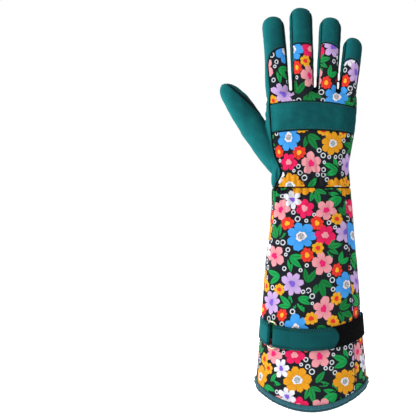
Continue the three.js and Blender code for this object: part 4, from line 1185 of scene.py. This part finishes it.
def printed_cloth():
    """Cotton with flowers, leaves and rings on a dark ground."""
    g = Graph("printed_cloth")
    cloth = g.attribute("cloth")["Vector"]
    u, v, _ = g.split(cloth)
    weave_u = g.math("SINE", u * (2 * math.pi / 0.62))
    weave_v = g.math("SINE", v * (2 * math.pi / 0.62))
    weave = weave_u * weave_v
    fuzz = g.noise(cloth, 2.6, 2)
    wobble = (g.noise(cloth, 0.9, 1) - 0.5) * 0.9
    colour = g.mix(fuzz, INK * 0.75, INK * 1.25)

    def local(place):
        cu, cv, turn = g.split(place["Vector"])
        du, dv = u - cu, v - cv
        distance = g.math("SQRT", du * du + dv * dv)
        return du, dv, turn, distance

    def leaf(colour, name):
        place, shape = g.attribute(name + "_place"), g.attribute(name + "_shape")
        du, dv, turn, _ = local(place)
        c, s = g.math("COSINE", turn), g.math("SINE", turn)
        along, across = du * c + dv * s, dv * c - du * s
        t = along / place["Alpha"]
        width, _, _ = g.split(shape["Vector"])
        edge = width * g.math("POWER", g.math("MAXIMUM", 1 - t * t, 0.0), 0.85) * (1.1 - t * 0.3)
        side = g.math("ABSOLUTE", across)
        inside = g.step(edge - side + wobble * 0.25, -0.15, 0.15) * g.step(1 - t * t, 0.0, 0.02)
        vein = g.step(side + t * t * 0.25, 0.22, 0.5)
        ribs = g.step(g.math("SINE", (along - side * 0.9) * 2.9), -0.95, -0.55)
        tint = g.mix(vein * (ribs * 0.5 + 0.5), g.attribute(name + "_heart")["Color"],
                     g.attribute(name + "_outer")["Color"])
        return g.mix(inside, colour, tint)

    def ring(colour, name):
        place = g.attribute(name + "_place")
        *_, distance = local(place)
        off = g.math("ABSOLUTE", distance - place["Alpha"] * 0.72 + wobble * 0.2)
        return g.mix(g.step(off, 0.66, 0.40), colour, g.attribute(name + "_outer")["Color"])

    def flower(colour, name):
        place, shape = g.attribute(name + "_place"), g.attribute(name + "_shape")
        du, dv, turn, distance = local(place)
        petals, part, share = g.split(shape["Vector"])
        size = place["Alpha"]
        angle = g.math("ARCTAN2", dv, du) + turn
        uneven = g.math("SINE", angle * 2 + turn * 3) * 0.055
        uneven = uneven + g.math("SINE", angle * 3 + turn * 7) * 0.045
        wave = g.math("ABSOLUTE", g.math("COSINE", (angle + uneven) * petals * 0.5))
        bow = g.math("POWER", wave, 0.6)
        frill = g.math("ABSOLUTE", g.math("SINE", angle * petals * 1.5 + turn)) * 0.045
        edge = size * (1 - part + part * bow - frill + uneven) + wobble
        inside = g.step(edge - distance, -0.14, 0.14)
        reach = distance / size
        # the petals part down to the heart in thin dark lines, and have a few fine veins
        gap = g.step(wave * distance, 0.2, 0.5)
        gap = 1 - (1 - gap) * g.step(reach, 0.42, 0.62)
        vein = g.step(g.math("SINE", angle * petals * 4.0 + wobble * 2), 0.5, 0.95)
        vein = vein * g.step(reach, 0.88, 0.5)
        petal = g.attribute(name + "_outer")["Color"]
        heart_colour = g.attribute(name + "_heart")["Color"]
        deeper = g.mix(0.4, petal, heart_colour)
        tint = g.mix(vein * g.step(share, 0.295, 0.28) * 0.55, petal, deeper)
        tint = g.mix(g.step(reach, 0.7, 0.25) * 0.14, tint, (0.0, 0.0, 0.0))
        heart_edge = share + (wave - 0.5) * 0.06 + uneven * 0.6
        heart = g.step(heart_edge - reach, -0.012, 0.012)
        tint = g.mix(heart, tint, heart_colour)
        # stamens show only in pale hearts, which are the big ones
        dots = g.step(g.noise(cloth, 1.5, 0), 0.47, 0.53)
        core = g.step(share * 0.72 - reach, -0.01, 0.02) * g.step(size, 12.2, 12.4)
        pale = g.step(share, 0.3, 0.305)
        tint = g.mix(core * pale * (dots * 0.8 + 0.15), tint, linear((40, 62, 82)))
        tint = g.mix(g.step(fuzz, 0.42, 0.62) * 0.13, tint, (0.0, 0.0, 0.0))
        return g.mix(inside * gap, colour, tint)

    colour = leaf(leaf(colour, "leaf1"), "leaf0")
    colour = ring(colour, "ring0")
    colour = flower(flower(colour, "flower1"), "flower0")
    colour = g.mix(weave * 0.10 + 0.10, colour, (0.0, 0.0, 0.0))
    # painted shade in the folds of the print's seams
    colour = seam_shade(g, colour, INK * 0.25, 0.9)
    normal = g.bump(weave * 0.5 + fuzz * 0.6, 0.00010, 0.6)
    return g.finish(colour, normal, Roughness=0.9, Sheen_Weight=0.04, Sheen_Roughness=0.5,
                    Specular_IOR_Level=0.14)


def touch_cloth():
    """Smooth black cloth with a fine rib."""
    g = Graph("touch_cloth")
    place = g.attribute("rest")["Vector"]
    x, y, z = g.split(place)
    rib = g.math("SINE", (x + z) * 7.5) * g.math("SINE", (x - z + y) * 7.5)
    grain = g.noise(place, 2.2, 3)
    colour = g.mix(grain, (0.0020, 0.0022, 0.0026), (0.008, 0.009, 0.010))
    colour = g.mix(g.step(rib, 0.2, 1.0) * 0.4, colour, (0.014, 0.015, 0.017))
    return g.finish(colour, g.bump(rib + grain, 0.00012, 0.6), Roughness=0.8,
                    Specular_IOR_Level=0.12)


def binding_tape():
    """Ribbed tape, painted lighter on its upper half, with a painted highlight along its crease and
    painted shadow at its upper edge.
    """
    g = Graph("binding_tape")
    u, v, _ = g.split(g.attribute("cloth")["Vector"])
    rib = g.math("SINE", u * (2 * math.pi / 0.75))
    twill = g.math("SINE", (u + v * 1.6) * (2 * math.pi / 1.3))
    clouds = g.noise(g.attribute("cloth")["Vector"], 0.12, 2)
    # painted light: the tape's upper half is lighter and its lower half darker, as the light falls on the
    # rolled tape, over a cloudy tone of its own
    colour = g.mix(clouds * 0.5 + g.step(v, 5.2, 3.6) * 0.5, linear((6, 50, 60)), linear((24, 98, 112)))
    # painted highlight: a thin light line along the crease in the middle of the tape
    off_painted_highlight = g.math("ABSOLUTE", v - 4.6)
    colour = g.mix(g.step(off_painted_highlight, 0.5, 0.15) * 0.5, colour, linear((74, 150, 164)))
    colour = g.mix(g.step(rib, -0.6, 0.9) * 0.3, colour, linear((10, 48, 58)))
    # painted shadow along the tape's upper edge
    colour = seam_shade(g, colour, (0.003, 0.008, 0.010), 0.8)
    return g.finish(colour, g.bump(rib * 0.6 + twill * 0.3, 0.00016, 0.7), Roughness=0.55,
                    Sheen_Weight=0.1, Sheen_Roughness=0.35, Specular_IOR_Level=0.3)


def loop_tape():
    """Black pile of small loops."""
    g = Graph("loop_tape")
    place = g.attribute("rest")["Vector"]
    curls = g.node("ShaderNodeTexVoronoi", dict(feature="F1"), Vector=place, Scale=1.15)
    fuzz = g.noise(place, 2.4, 4, 0.7)
    depth = Signal(g, curls.outputs["Distance"]) * 0.7 + fuzz * 0.6
    colour = g.mix(g.step(depth, 0.3, 0.95), (0.0010, 0.0010, 0.0012), (0.006, 0.006, 0.007))
    return g.finish(colour, g.bump(depth, 0.0005, 0.9), Roughness=1.0, Specular_IOR_Level=0.05)


def metal_wire():
    """Polished wire."""
    g = Graph("metal_wire")
    place = g.attribute("rest")["Vector"]
    wear = g.noise(place, 0.7, 4, 0.65)
    colour = g.mix(wear, linear((214, 200, 170)), linear((168, 150, 118)))
    return g.finish(colour, g.bump(wear, 0.00006, 0.4), Metallic=1.0, Roughness=0.28)


def thread(name, colour):
    """Twisted sewing thread."""
    g = Graph(name)
    place = g.attribute("rest")["Vector"]
    x, y, z = g.split(place)
    ply = g.math("SINE", (x + y + z) * 14.0)
    tint = g.mix(g.step(ply, -0.8, 0.8), linear(colour) * 0.45, linear(colour))
    return g.finish(tint, g.bump(ply, 0.00008, 0.6), Roughness=0.6, Sheen_Weight=0.2,
                    Specular_IOR_Level=0.35)


# Binding, strap and ring

def make_binding(material):
    """A tape folded over the hem, with a soft edge and a shallow crease along its middle."""
    columns = 400
    angle = 2 * math.pi * np.arange(columns) / columns + SLEEVE_SEAMS[0]
    slack, _ = cuff_relief(angle, hem_height(angle) + 5)
    # distance up from the hem and out of the cloth, round the folded tape
    out = GAP + BINDING_CLOTH
    profile = [(7.0, 0.25), (6.95, 0.9), (6.5, out + 0.15), (5.6, out + 0.3), (4.6, out + 0.15),
               (3.9, out - 0.1), (3.3, out - 0.2), (2.7, out), (1.9, out + 0.25), (1.0, out + 0.1),
               (0.4, out - 0.5), (0.0, 0.1), (0.0, -CLOTH), (0.5, -CLOTH - out + 0.4),
               (2.0, -CLOTH - out), (4.5, -CLOTH - out), (6.3, -CLOTH - out + 0.2),
               (6.9, -CLOTH - 0.8), (6.9, -CLOTH - 0.2), (3.5, -CLOTH - 0.05), (2.0, -CLOTH - 0.05),
               (1.5, -CLOTH + 0.4), (1.5, 0.0), (3.0, 0.15)]
    profile = np.array(profile)
    wave = 0.18 * np.cos(angle * 61) + 0.12 * np.cos(angle * 97 + 1)
    rows = []
    for up, far in profile:
        puff = wave * smoothstep(0.4, 1.4, abs(far + 1)) if 0.3 < up < 6.8 else 0 * wave
        rows.append(cuff_point(angle, hem_height(angle) + up, slack + far + puff))
    points = np.concatenate(rows)
    faces = grid_faces(len(rows), columns, closed=True)
    ob = piece("hem_binding_tape", points * MM, faces[:, ::-1], material, ["hem_binding"])
    length = run_along(profile)
    cloth = np.zeros((len(rows), columns, 3))
    cloth[..., 0] = run_along(rows[3])
    cloth[..., 1] = length[:, None]
    attribute(ob, "cloth", "FLOAT_VECTOR", "POINT", cloth.reshape(-1, 3))
    # distance down the tape from its upper edge, which sets the painted shadow there
    attribute(ob, "seam", "FLOAT", "POINT", np.repeat(np.minimum(length, NO_SEAM), columns))
    return ob


# Places round the cuff, in degrees
ULNAR_END, RING_ANGLE, TONGUE_END, TAB_END = 372.0, 225.5, 297.3, 166.0
SLACK, SLACK_AT, SLACK_REACH = 0.4, 356, 28


def strap_point(degrees, above, out):
    """Points above or below the strap's middle line, at distances out of the cuff."""
    return cuff_point(np.radians(degrees), strap_height(degrees) + above, out)


TURN = 1 / np.linalg.norm(strap_point(RING_ANGLE + 0.5, 0, 0) - strap_point(RING_ANGLE - 0.5, 0, 0))
HALF_STRAP = STRAP_WIDTH / 2
UNDER = GAP + STRAP_CLOTH / 2
OVER = UNDER + STRAP_CLOTH + GAP
BAR_OUT = UNDER + STRAP_CLOTH / 2 + GAP + RING_WIRE / 2
BAR_ASIDE = (RING_GAP + RING_WIRE) / 2 * TURN
FOLD_TAIL = 5.0


def slack_at(degrees):
    """How far the strap stands off at the little finger's side."""
    return SLACK * max(0.0, 1 - abs(degrees - SLACK_AT) / SLACK_REACH)


def fold_stops(bar, direction):
    """Stops of a band that turns round one of the ring's bars."""
    radius = BAR_OUT - UNDER
    return [(bar + direction * radius * math.cos(a) * TURN, BAR_OUT + radius * math.sin(a), HALF_STRAP)
            for a in np.radians([-90, -60, -30, 0, 30, 60, 90])]


def strap_band(name, stops, count, material, nodes, border=0.0):
    """A band of cloth through stops of angle, distance out and half width."""
    degrees, out, half = smooth_line(stops, count).T
    run, rise = np.gradient(degrees) / TURN, np.gradient(out)
    size = np.hypot(run, rise)
    run, rise = run / size, rise / size
    across = np.concatenate([np.linspace(-1, 1, 31), np.linspace(1, -1, 31)])
    side = np.repeat([-1.0, 1.0], 31)
    edge = np.abs(across)
    inset = (1 - edge) * HALF_STRAP
    thick = STRAP_CLOTH / 2 * np.sqrt(np.maximum(1 - np.clip(1 - inset / 1.1, 0, 1) ** 2 * 0.9, 0))
    if border:
        thick -= 0.2 * np.exp(-((inset - border) / 0.45) ** 2)
    wave = 0.10 * ripple(np.stack([degrees, out * 0, half * 0], 1), 23, 9, 1)
    off = side[None] * thick[None] + wave[:, None]
    d = degrees[:, None] - rise[:, None] * off * TURN
    o = out[:, None] + run[:, None] * off
    points = strap_point(d, across[None] * half[:, None], o)
    n = points.shape[1]
    faces = grid_faces(count, n)
    caps = []
    for row, flip in ((0, False), (count - 1, True)):
        for k in range(30):
            base = row * n
            quad = [base + k, base + k + 1, base + n - 2 - k, base + n - 1 - k]
            caps.append(quad if flip else quad[::-1])
    faces = np.concatenate([faces, np.array(caps)])
    flat = points.reshape(-1, 3)
    ob = piece(name, flat * MM, faces, material, nodes)
    attribute(ob, "rest", "FLOAT_VECTOR", "POINT", flat)
    # distance from the stitched border, which sets a thin line of painted shade along it
    seam = np.maximum(np.abs(inset - border) * 1.6, 0.62) if border else np.full(n, NO_SEAM)
    attribute(ob, "seam", "FLOAT", "POINT", np.tile(seam, count))
    return ob


def make_strap(black, leather):
    """The loop side, the tongue laid back through the ring, and the tab."""
    start = RING_ANGLE + BAR_ASIDE + (FOLD_TAIL + GAP) * TURN
    loop = [(a, UNDER + slack_at(a), HALF_STRAP) for a in np.linspace(start, ULNAR_END, 22)]
    strap_band("strap_loop_tape", loop, 180, black, ["strap_loop_side"])
    bar = RING_ANGLE + BAR_ASIDE
    tongue = [(bar + FOLD_TAIL * TURN, UNDER, HALF_STRAP)] + fold_stops(bar, -1)
    high = BAR_OUT * 2 - UNDER
    fallen = bar + 16.5
    for a in (bar + 9.5, fallen, 253, 260, 267, 275, 282, 286, 288.5, 290.5, 292.5, 294, 295.2, 296.2,
              296.9, TONGUE_END):
        left = math.radians(TONGUE_END - a) * MOUTH_WIDTH / 2
        into = min(max((HALF_STRAP - left) / HALF_STRAP, 0), 0.992)
        fall = float(smoothstep(bar, fallen, a))
        tongue.append((a, high + (OVER - high) * fall + slack_at(a), HALF_STRAP * math.sqrt(1 - into**2)))
    strap_band("strap_tongue_suede", tongue, 260, leather, ["strap_tongue"], 2.0)
    bar = RING_ANGLE - BAR_ASIDE
    tab = [(a, UNDER, HALF_STRAP) for a in (TAB_END, 173, 180, 187, 194, 201, 207, 213)]
    tab += fold_stops(bar, 1)
    tab += [(bar - 10, OVER + 0.6, HALF_STRAP), (bar - 16, OVER, HALF_STRAP)]
    strap_band("strap_tab_suede", tab, 150, leather, ["strap_tab"], 2.0)


def make_ring(material):
    """An oblong ring of round wire."""
    turns, sides = 96, 14
    wide = (RING_GAP + RING_WIRE) / 2
    straight = (RING_LENGTH - RING_WIRE) / 2 - RING_BEND
    turn = 2 * math.pi * np.arange(turns) / turns
    c, s = np.cos(turn), np.sin(turn)
    path = strap_point(RING_ANGLE + wide * c * TURN, RING_BEND * s + np.sign(s) * straight, BAR_OUT)
    out = unit(strap_point(RING_ANGLE, 0, 10) - strap_point(RING_ANGLE, 0, 0))
    ahead = unit(np.roll(path, -1, 0) - np.roll(path, 1, 0))
    side = unit(np.cross(ahead, out))
    up = np.cross(side, ahead)
    angle = 2 * math.pi * np.arange(sides) / sides
    points = path[:, None] + RING_WIRE / 2 * (np.cos(angle)[None, :, None] * side[:, None]
                                              + np.sin(angle)[None, :, None] * up[:, None])
    flat = points.reshape(-1, 3)
    faces = grid_faces(turns, sides, closed=True)
    ob = piece("strap_ring_wire", flat * MM, faces, material, ["strap_ring"])
    attribute(ob, "rest", "FLOAT_VECTOR", "POINT", flat)
    return ob


# Stitches

def stitched(name, rows, material, length=1.7, gap=1.0, thick=0.26):
    """Short stitches along rows; each row has points on a surface and the surface's normals."""
    around, rings = 6, 5
    turn = 2 * math.pi * np.arange(around) / around
    lift = np.linspace(-1, 1, rings)
    girth = np.sqrt(np.maximum(1 - lift**4, 0.02))
    template = np.stack([np.repeat(lift, around), np.outer(girth, np.cos(turn)).ravel(),
                         np.outer(girth, np.sin(turn)).ravel()], 1)
    faces = grid_faces(rings, around)
    points, quads = [], []
    total = 0
    for path, normals in rows:
        run = run_along(path)
        for at in np.arange(length / 2, run[-1] - length / 2, length + gap):
            a, m, b = (np.array([np.interp(at + d, run, path[:, k]) for k in range(3)])
                       for d in (-length / 2, 0, length / 2))
            up = unit(np.array([np.interp(at, run, normals[:, k]) for k in range(3)]))
            ahead = unit(b - a)
            side = np.cross(up, ahead)
            centre = (a + b + 2 * m) / 4 + up * thick * 0.35
            basis = np.stack([ahead * length / 2, side * thick, up * thick * 0.85])
            points.append(centre + template @ basis)
            quads.append(faces + total)
            total += len(template)
    points = np.concatenate(points)
    ob = piece(name, points * MM, np.concatenate(quads), material)
    attribute(ob, "rest", "FLOAT_VECTOR", "POINT", points)
    return ob


def on_surface(tree, line, side):
    """Points and normals where a line in X and Z meets the skin, seen from one side."""
    line = np.array(line, float)
    run = run_along(line)
    at = np.arange(0, run[-1], 0.6)
    spots, normals, rows = [], [], []
    for x, z in zip(np.interp(at, run, line[:, 0]), np.interp(at, run, line[:, 1])):
        hit, normal, _, _ = tree.ray_cast(Vector((x, side * 150, z)), Vector((0, -side, 0)))
        if hit is None or (spots and (hit - spots[-1]).length > 3.0):
            if len(spots) > 5:
                rows.append((np.array(spots), np.array(normals)))
            spots, normals = [], []
        if hit is not None:
            spots.append(hit)
            normals.append(normal)
    if len(spots) > 5:
        rows.append((np.array(spots), np.array(normals)))
    return rows


def turned(rows):
    """Rows of the hand's own frame in the part's, in millimetres."""
    zero = to_frame(np.zeros((1, 3)))
    return [(to_frame(p) / MM, (to_frame(n) - zero) / MM) for p, n in rows]


def hand_stitches(points, tris):
    """Rows beside the seams of the hand."""
    tree = bvhtree.BVHTree.FromPolygons(points.tolist(), tris.tolist())
    rows = []
    for name in FINGERS:
        line = np.array(prong_top(name))
        way = unit(np.gradient(line, axis=0))
        rows += on_surface(tree, line + np.stack([-way[:, 1], way[:, 0]], 1) * 1.9, -1)
    top, foot = band_line(BAND_HIGH, BAND_DIP), band_line(BAND_LOW, 0)
    inside = [p for p in zip(top, foot) if -0.86 * HALF_PALM < p[0][0] < 0.93 * HALF_PALM]
    rows += on_surface(tree, [(x, z - 1.9) for (x, z), _ in inside], -1)
    rows += on_surface(tree, [(x, z + 1.9) for _, (x, z) in inside], -1)
    rows += on_surface(tree, [(x - 1.8, z) for x, z in seam_line() if z > 2], -1)
    for name in PADS:
        ring = pad_outline(name)
        ahead = unit(np.roll(ring, -1, 0) - np.roll(ring, 1, 0))
        ring = ring + np.stack([-ahead[:, 1], ahead[:, 0]], 1) * 1.7
        rows += on_surface(tree, [*ring, ring[0]], 1)
    rows += on_surface(tree, [(x + 1.9, z) for x, z in thumb_palm_line() if 3 < z < 95], 1)
    for line in PALM_STITCHES:
        rows += on_surface(tree, line, 1)
    return turned(rows)


def along(place, at):
    """A row of points along a line on the cuff, with the directions out of its cloth."""
    return (np.array([place(a, 0.0) for a in at]),
            np.array([unit(place(a, 1.0) - place(a, 0.0)) for a in at]))


def strap_stitches():
    """Dotted lines inside the edges of the tongue and of the tab."""
    rows = []
    half = HALF_STRAP - 2.0
    top = OVER + STRAP_CLOTH / 2 - 0.15

    def tongue(a):
        left = math.radians(TONGUE_END - a) * MOUTH_WIDTH / 2 - 2.0
        into = min(max((half - left) / half, 0), 1)
        return half * math.sqrt(1 - into**2)

    runs = list(np.linspace(RING_ANGLE + 23, 290, 60)) + list(np.linspace(290.3, TONGUE_END - 1.9, 30))
    both_sides = [(a, tongue(a)) for a in runs] + [(a, -tongue(a)) for a in runs[::-1]]
    rows.append(along(lambda p, out: strap_point(p[0], p[1], top + slack_at(p[0]) + out), both_sides))
    for above in (-half, half):
        rows.append(along(lambda a, out: strap_point(a, above, UNDER + STRAP_CLOTH / 2 - 0.15 + out),
                          np.linspace(TAB_END + 1, RING_ANGLE - 24, 50)))
    # a sewn box at each end of the strap
    for near, far in ((TAB_END + 1.6, TAB_END + 9), (ULNAR_END - 1.6, ULNAR_END - 9)):
        high = HALF_STRAP - 2.4
        box = [(near, high), (near, -high), (far, -high), (far, high), (near, high), (far, -high)]
        fine = np.linspace(0, len(box) - 1, 160)
        box = list(zip(*(np.interp(fine, range(len(box)), side) for side in zip(*box))))
        rows.append(along(lambda p, out: strap_point(
            p[0], p[1], UNDER + slack_at(p[0]) + STRAP_CLOTH / 2 - 0.1 + out), box))
    return rows


def binding_stitches():
    """The row along the upper edge of the hem's tape."""
    turn = np.linspace(0, 2 * math.pi, 500)
    slack, _ = cuff_relief(turn, hem_height(turn) + 5)
    out = GAP + BINDING_CLOTH + 0.2
    points = cuff_point(turn, hem_height(turn) + 5.9, slack + out)
    beyond = cuff_point(turn, hem_height(turn) + 5.9, slack + out + 1)
    return [(points, beyond - points)]


def sleeve_stitches():
    """A row beside each of the sleeve's two seams."""
    rows = []
    for seam in SLEEVE_SEAMS:
        for start, end in ((12, 62), (92, CUFF_TOP - 12)):
            z = np.linspace(start, end, 120) + hem_height(seam) * 0.4
            angle = np.full(len(z), seam + 2.0 / CUFF_RADIUS)
            relief, _ = cuff_relief(angle, z)
            points = cuff_point(angle, z, relief)
            rows.append((points, cuff_point(angle, z, relief + 1) - points))
    return rows


# The whole object

def touch_strip_and_painted_shade(middle):
    """Which faces of the palm, by their middles, get the black cloth along the thumb's upper edge: near
    the tip it is the touch cloth running round that edge, towards the crotch it is painted shade.
    """
    behind = -before_thumb(middle)
    rise = middle[:, 2] / THUMB_RISE + middle[:, 0] / THUMB_REACH * 1.04
    below_web = middle[:, 2] < 77 - (47 + middle[:, 0]) * 0.84
    return (behind < 8.5) & (rise > 0.02) & (middle[:, 0] < -41) & below_web


def print_on(ob):
    """Prints a panel of the hand."""
    rest = np.empty(len(ob.data.vertices) * 3, np.float32)
    ob.data.attributes["rest"].data.foreach_get("vector", rest)
    corners = np.empty(len(ob.data.loops), np.int32)
    ob.data.loops.foreach_get("vertex_index", corners)
    lay_print(ob, hand_cloth(rest.reshape(-1, 3).astype(float))[corners])


def build():
    teal = suede("suede", (20, 116, 119), (4, 60, 64))
    teal_deep = suede("suede_pads", (15, 98, 101), (4, 56, 60))
    print_material = printed_cloth()
    touch = touch_cloth()
    points, tris, label, names, seam, normal, base = shaped_hand()
    inner = base - normal * CLOTH
    slots = dict(back_panel="printed_cloth", finger_back_panel="printed_cloth",
                 touch_patch_thumb="touch_cloth", touch_patch_index="touch_cloth",
                 touch_patch_middle="touch_cloth")
    cover = dict(printed_cloth=print_material, touch_cloth=touch, suede=teal)
    for k, name in enumerate(names):
        slot = slots.get(name, "suede")
        material = teal_deep if name in PADS else cover[slot]
        mine = tris[label == k]
        shade = seam
        if name.startswith("fork_strip"):
            # the bottoms of the slits between the fingers lie in the dark: painted shade, from their seam
            # distance cut to nothing there
            shade = seam * smoothstep(PALM_LENGTH + 9, PALM_LENGTH + 22, base[:, 2])
        ob = closed_piece(name + "_skin", points, inner, mine, material, [name], shade, base)
        if name == "palm_panel":
            # black along the thumb's upper edge: touch cloth near the tip, painted shade towards the
            # crotch
            ob.data.materials.append(touch)
            index = np.zeros(len(ob.data.polygons), np.int32)
            index[:len(mine)] = touch_strip_and_painted_shade(base[mine].mean(1))
            ob.data.polygons.foreach_set("material_index", index)
        if slot == "printed_cloth":
            print_on(ob)
        name in RAISED
    tone = thread("thread_teal", (34, 104, 108))
    stitched("stitches_hand", hand_stitches(points, tris), tone)
    sleeve = make_sleeve(print_material)
    binding = make_binding(binding_tape())
    make_strap(loop_tape(), teal_deep)
    stitched("stitches_strap", strap_stitches(), tone, 1.5, 1.1, 0.22)
    stitched("stitches_binding", binding_stitches(), thread("thread_hem", (54, 128, 142)),
             1.9, 1.3, 0.2)
    stitched("stitches_sleeve", sleeve_stitches(), thread("thread_pale", (150, 158, 170)),
             1.6, 1.6, 0.2)
    make_ring(metal_wire())


build()

# Camera, light and floor

camera = bpy.data.objects.new("camera", bpy.data.cameras.new("camera"))
camera.data.sensor_width = 36.0
camera.data.angle = math.radians(35.6)
camera.data.clip_start, camera.data.clip_end = 0.01, 60.0
camera.location = (0.0, -0.6963, 0.206)
camera.rotation_euler = (math.radians(90), 0.0, 0.0)
camera.data.shift_x = -0.2488
scene.collection.objects.link(camera)
scene.camera = camera

FLOOR_RADIUS, FLOOR_LEVEL, FLOOR_SIDES = 12, -0.075, 64
floor_mesh = bpy.data.meshes.new("floor")
ring = [(FLOOR_RADIUS * math.cos(a), FLOOR_RADIUS * math.sin(a), FLOOR_LEVEL)
        for a in np.linspace(0, 2 * math.pi, FLOOR_SIDES + 1)[:-1]]
floor_mesh.from_pydata(ring, [], [tuple(range(FLOOR_SIDES))])
floor = bpy.data.objects.new("floor", floor_mesh)
scene.collection.objects.link(floor)
g = Graph("floor")
spot = Signal(g, g.node("ShaderNodeNewGeometry").outputs["Position"])
pale = g.mix(g.noise(spot, 40.0), (0.88, 0.88, 0.88), (0.90, 0.90, 0.90))
floor_mesh.materials.append(g.finish(pale, Roughness=0.9, Emission_Color=(1, 1, 1, 1),
                                     Emission_Strength=0.5))


def area_light(name, place, aim, size, power):
    data = bpy.data.lights.new(name, "AREA")
    data.size, data.energy = size, power
    ob = bpy.data.objects.new(name, data)
    ob.location = place
    ob.rotation_euler = (Vector(aim) - Vector(place)).to_track_quat("-Z", "Y").to_euler()
    scene.collection.objects.link(ob)


area_light("key", (-2.2, -1.0, 1.0), (0, 0, 0.22), 1.1, 46)
area_light("fill", (1.5, -1.4, 0.5), (0, 0, 0.22), 1.6, 2)
area_light("back_left", (-1.0, 1.4, 0.9), (0, 0, 0.22), 1.3, 16)
area_light("top", (0.1, 0.2, 1.8), (0, 0, 0.2), 1.4, 6)

world = bpy.data.worlds.new("world")
scene.world = world
world.use_nodes = True
nodes, links = world.node_tree.nodes, world.node_tree.links
nodes.clear()
lit, seen = nodes.new("ShaderNodeBackground"), nodes.new("ShaderNodeBackground")
seen.inputs[0].default_value, seen.inputs[1].default_value = (1, 1, 1, 1), 1.0
path, mixer, out = (nodes.new("ShaderNode" + k) for k in ("LightPath", "MixShader", "OutputWorld"))
# the light overhead is stronger than that from the sides
coords, split_way = nodes.new("ShaderNodeTexCoord"), nodes.new("ShaderNodeSeparateXYZ")
overhead = nodes.new("ShaderNodeMapRange")
overhead.inputs["From Min"].default_value, overhead.inputs["From Max"].default_value = 0.15, 1.0
overhead.inputs["To Min"].default_value, overhead.inputs["To Max"].default_value = 0.17, 1.3
links.new(coords.outputs["Generated"], split_way.inputs[0])
links.new(split_way.outputs["Z"], overhead.inputs["Value"])
links.new(overhead.outputs[0], lit.inputs[1])
links.new(path.outputs["Is Camera Ray"], mixer.inputs[0])
links.new(lit.outputs[0], mixer.inputs[1])
links.new(seen.outputs[0], mixer.inputs[2])
links.new(mixer.outputs[0], out.inputs[0])
scene.view_settings.view_transform = "Standard"
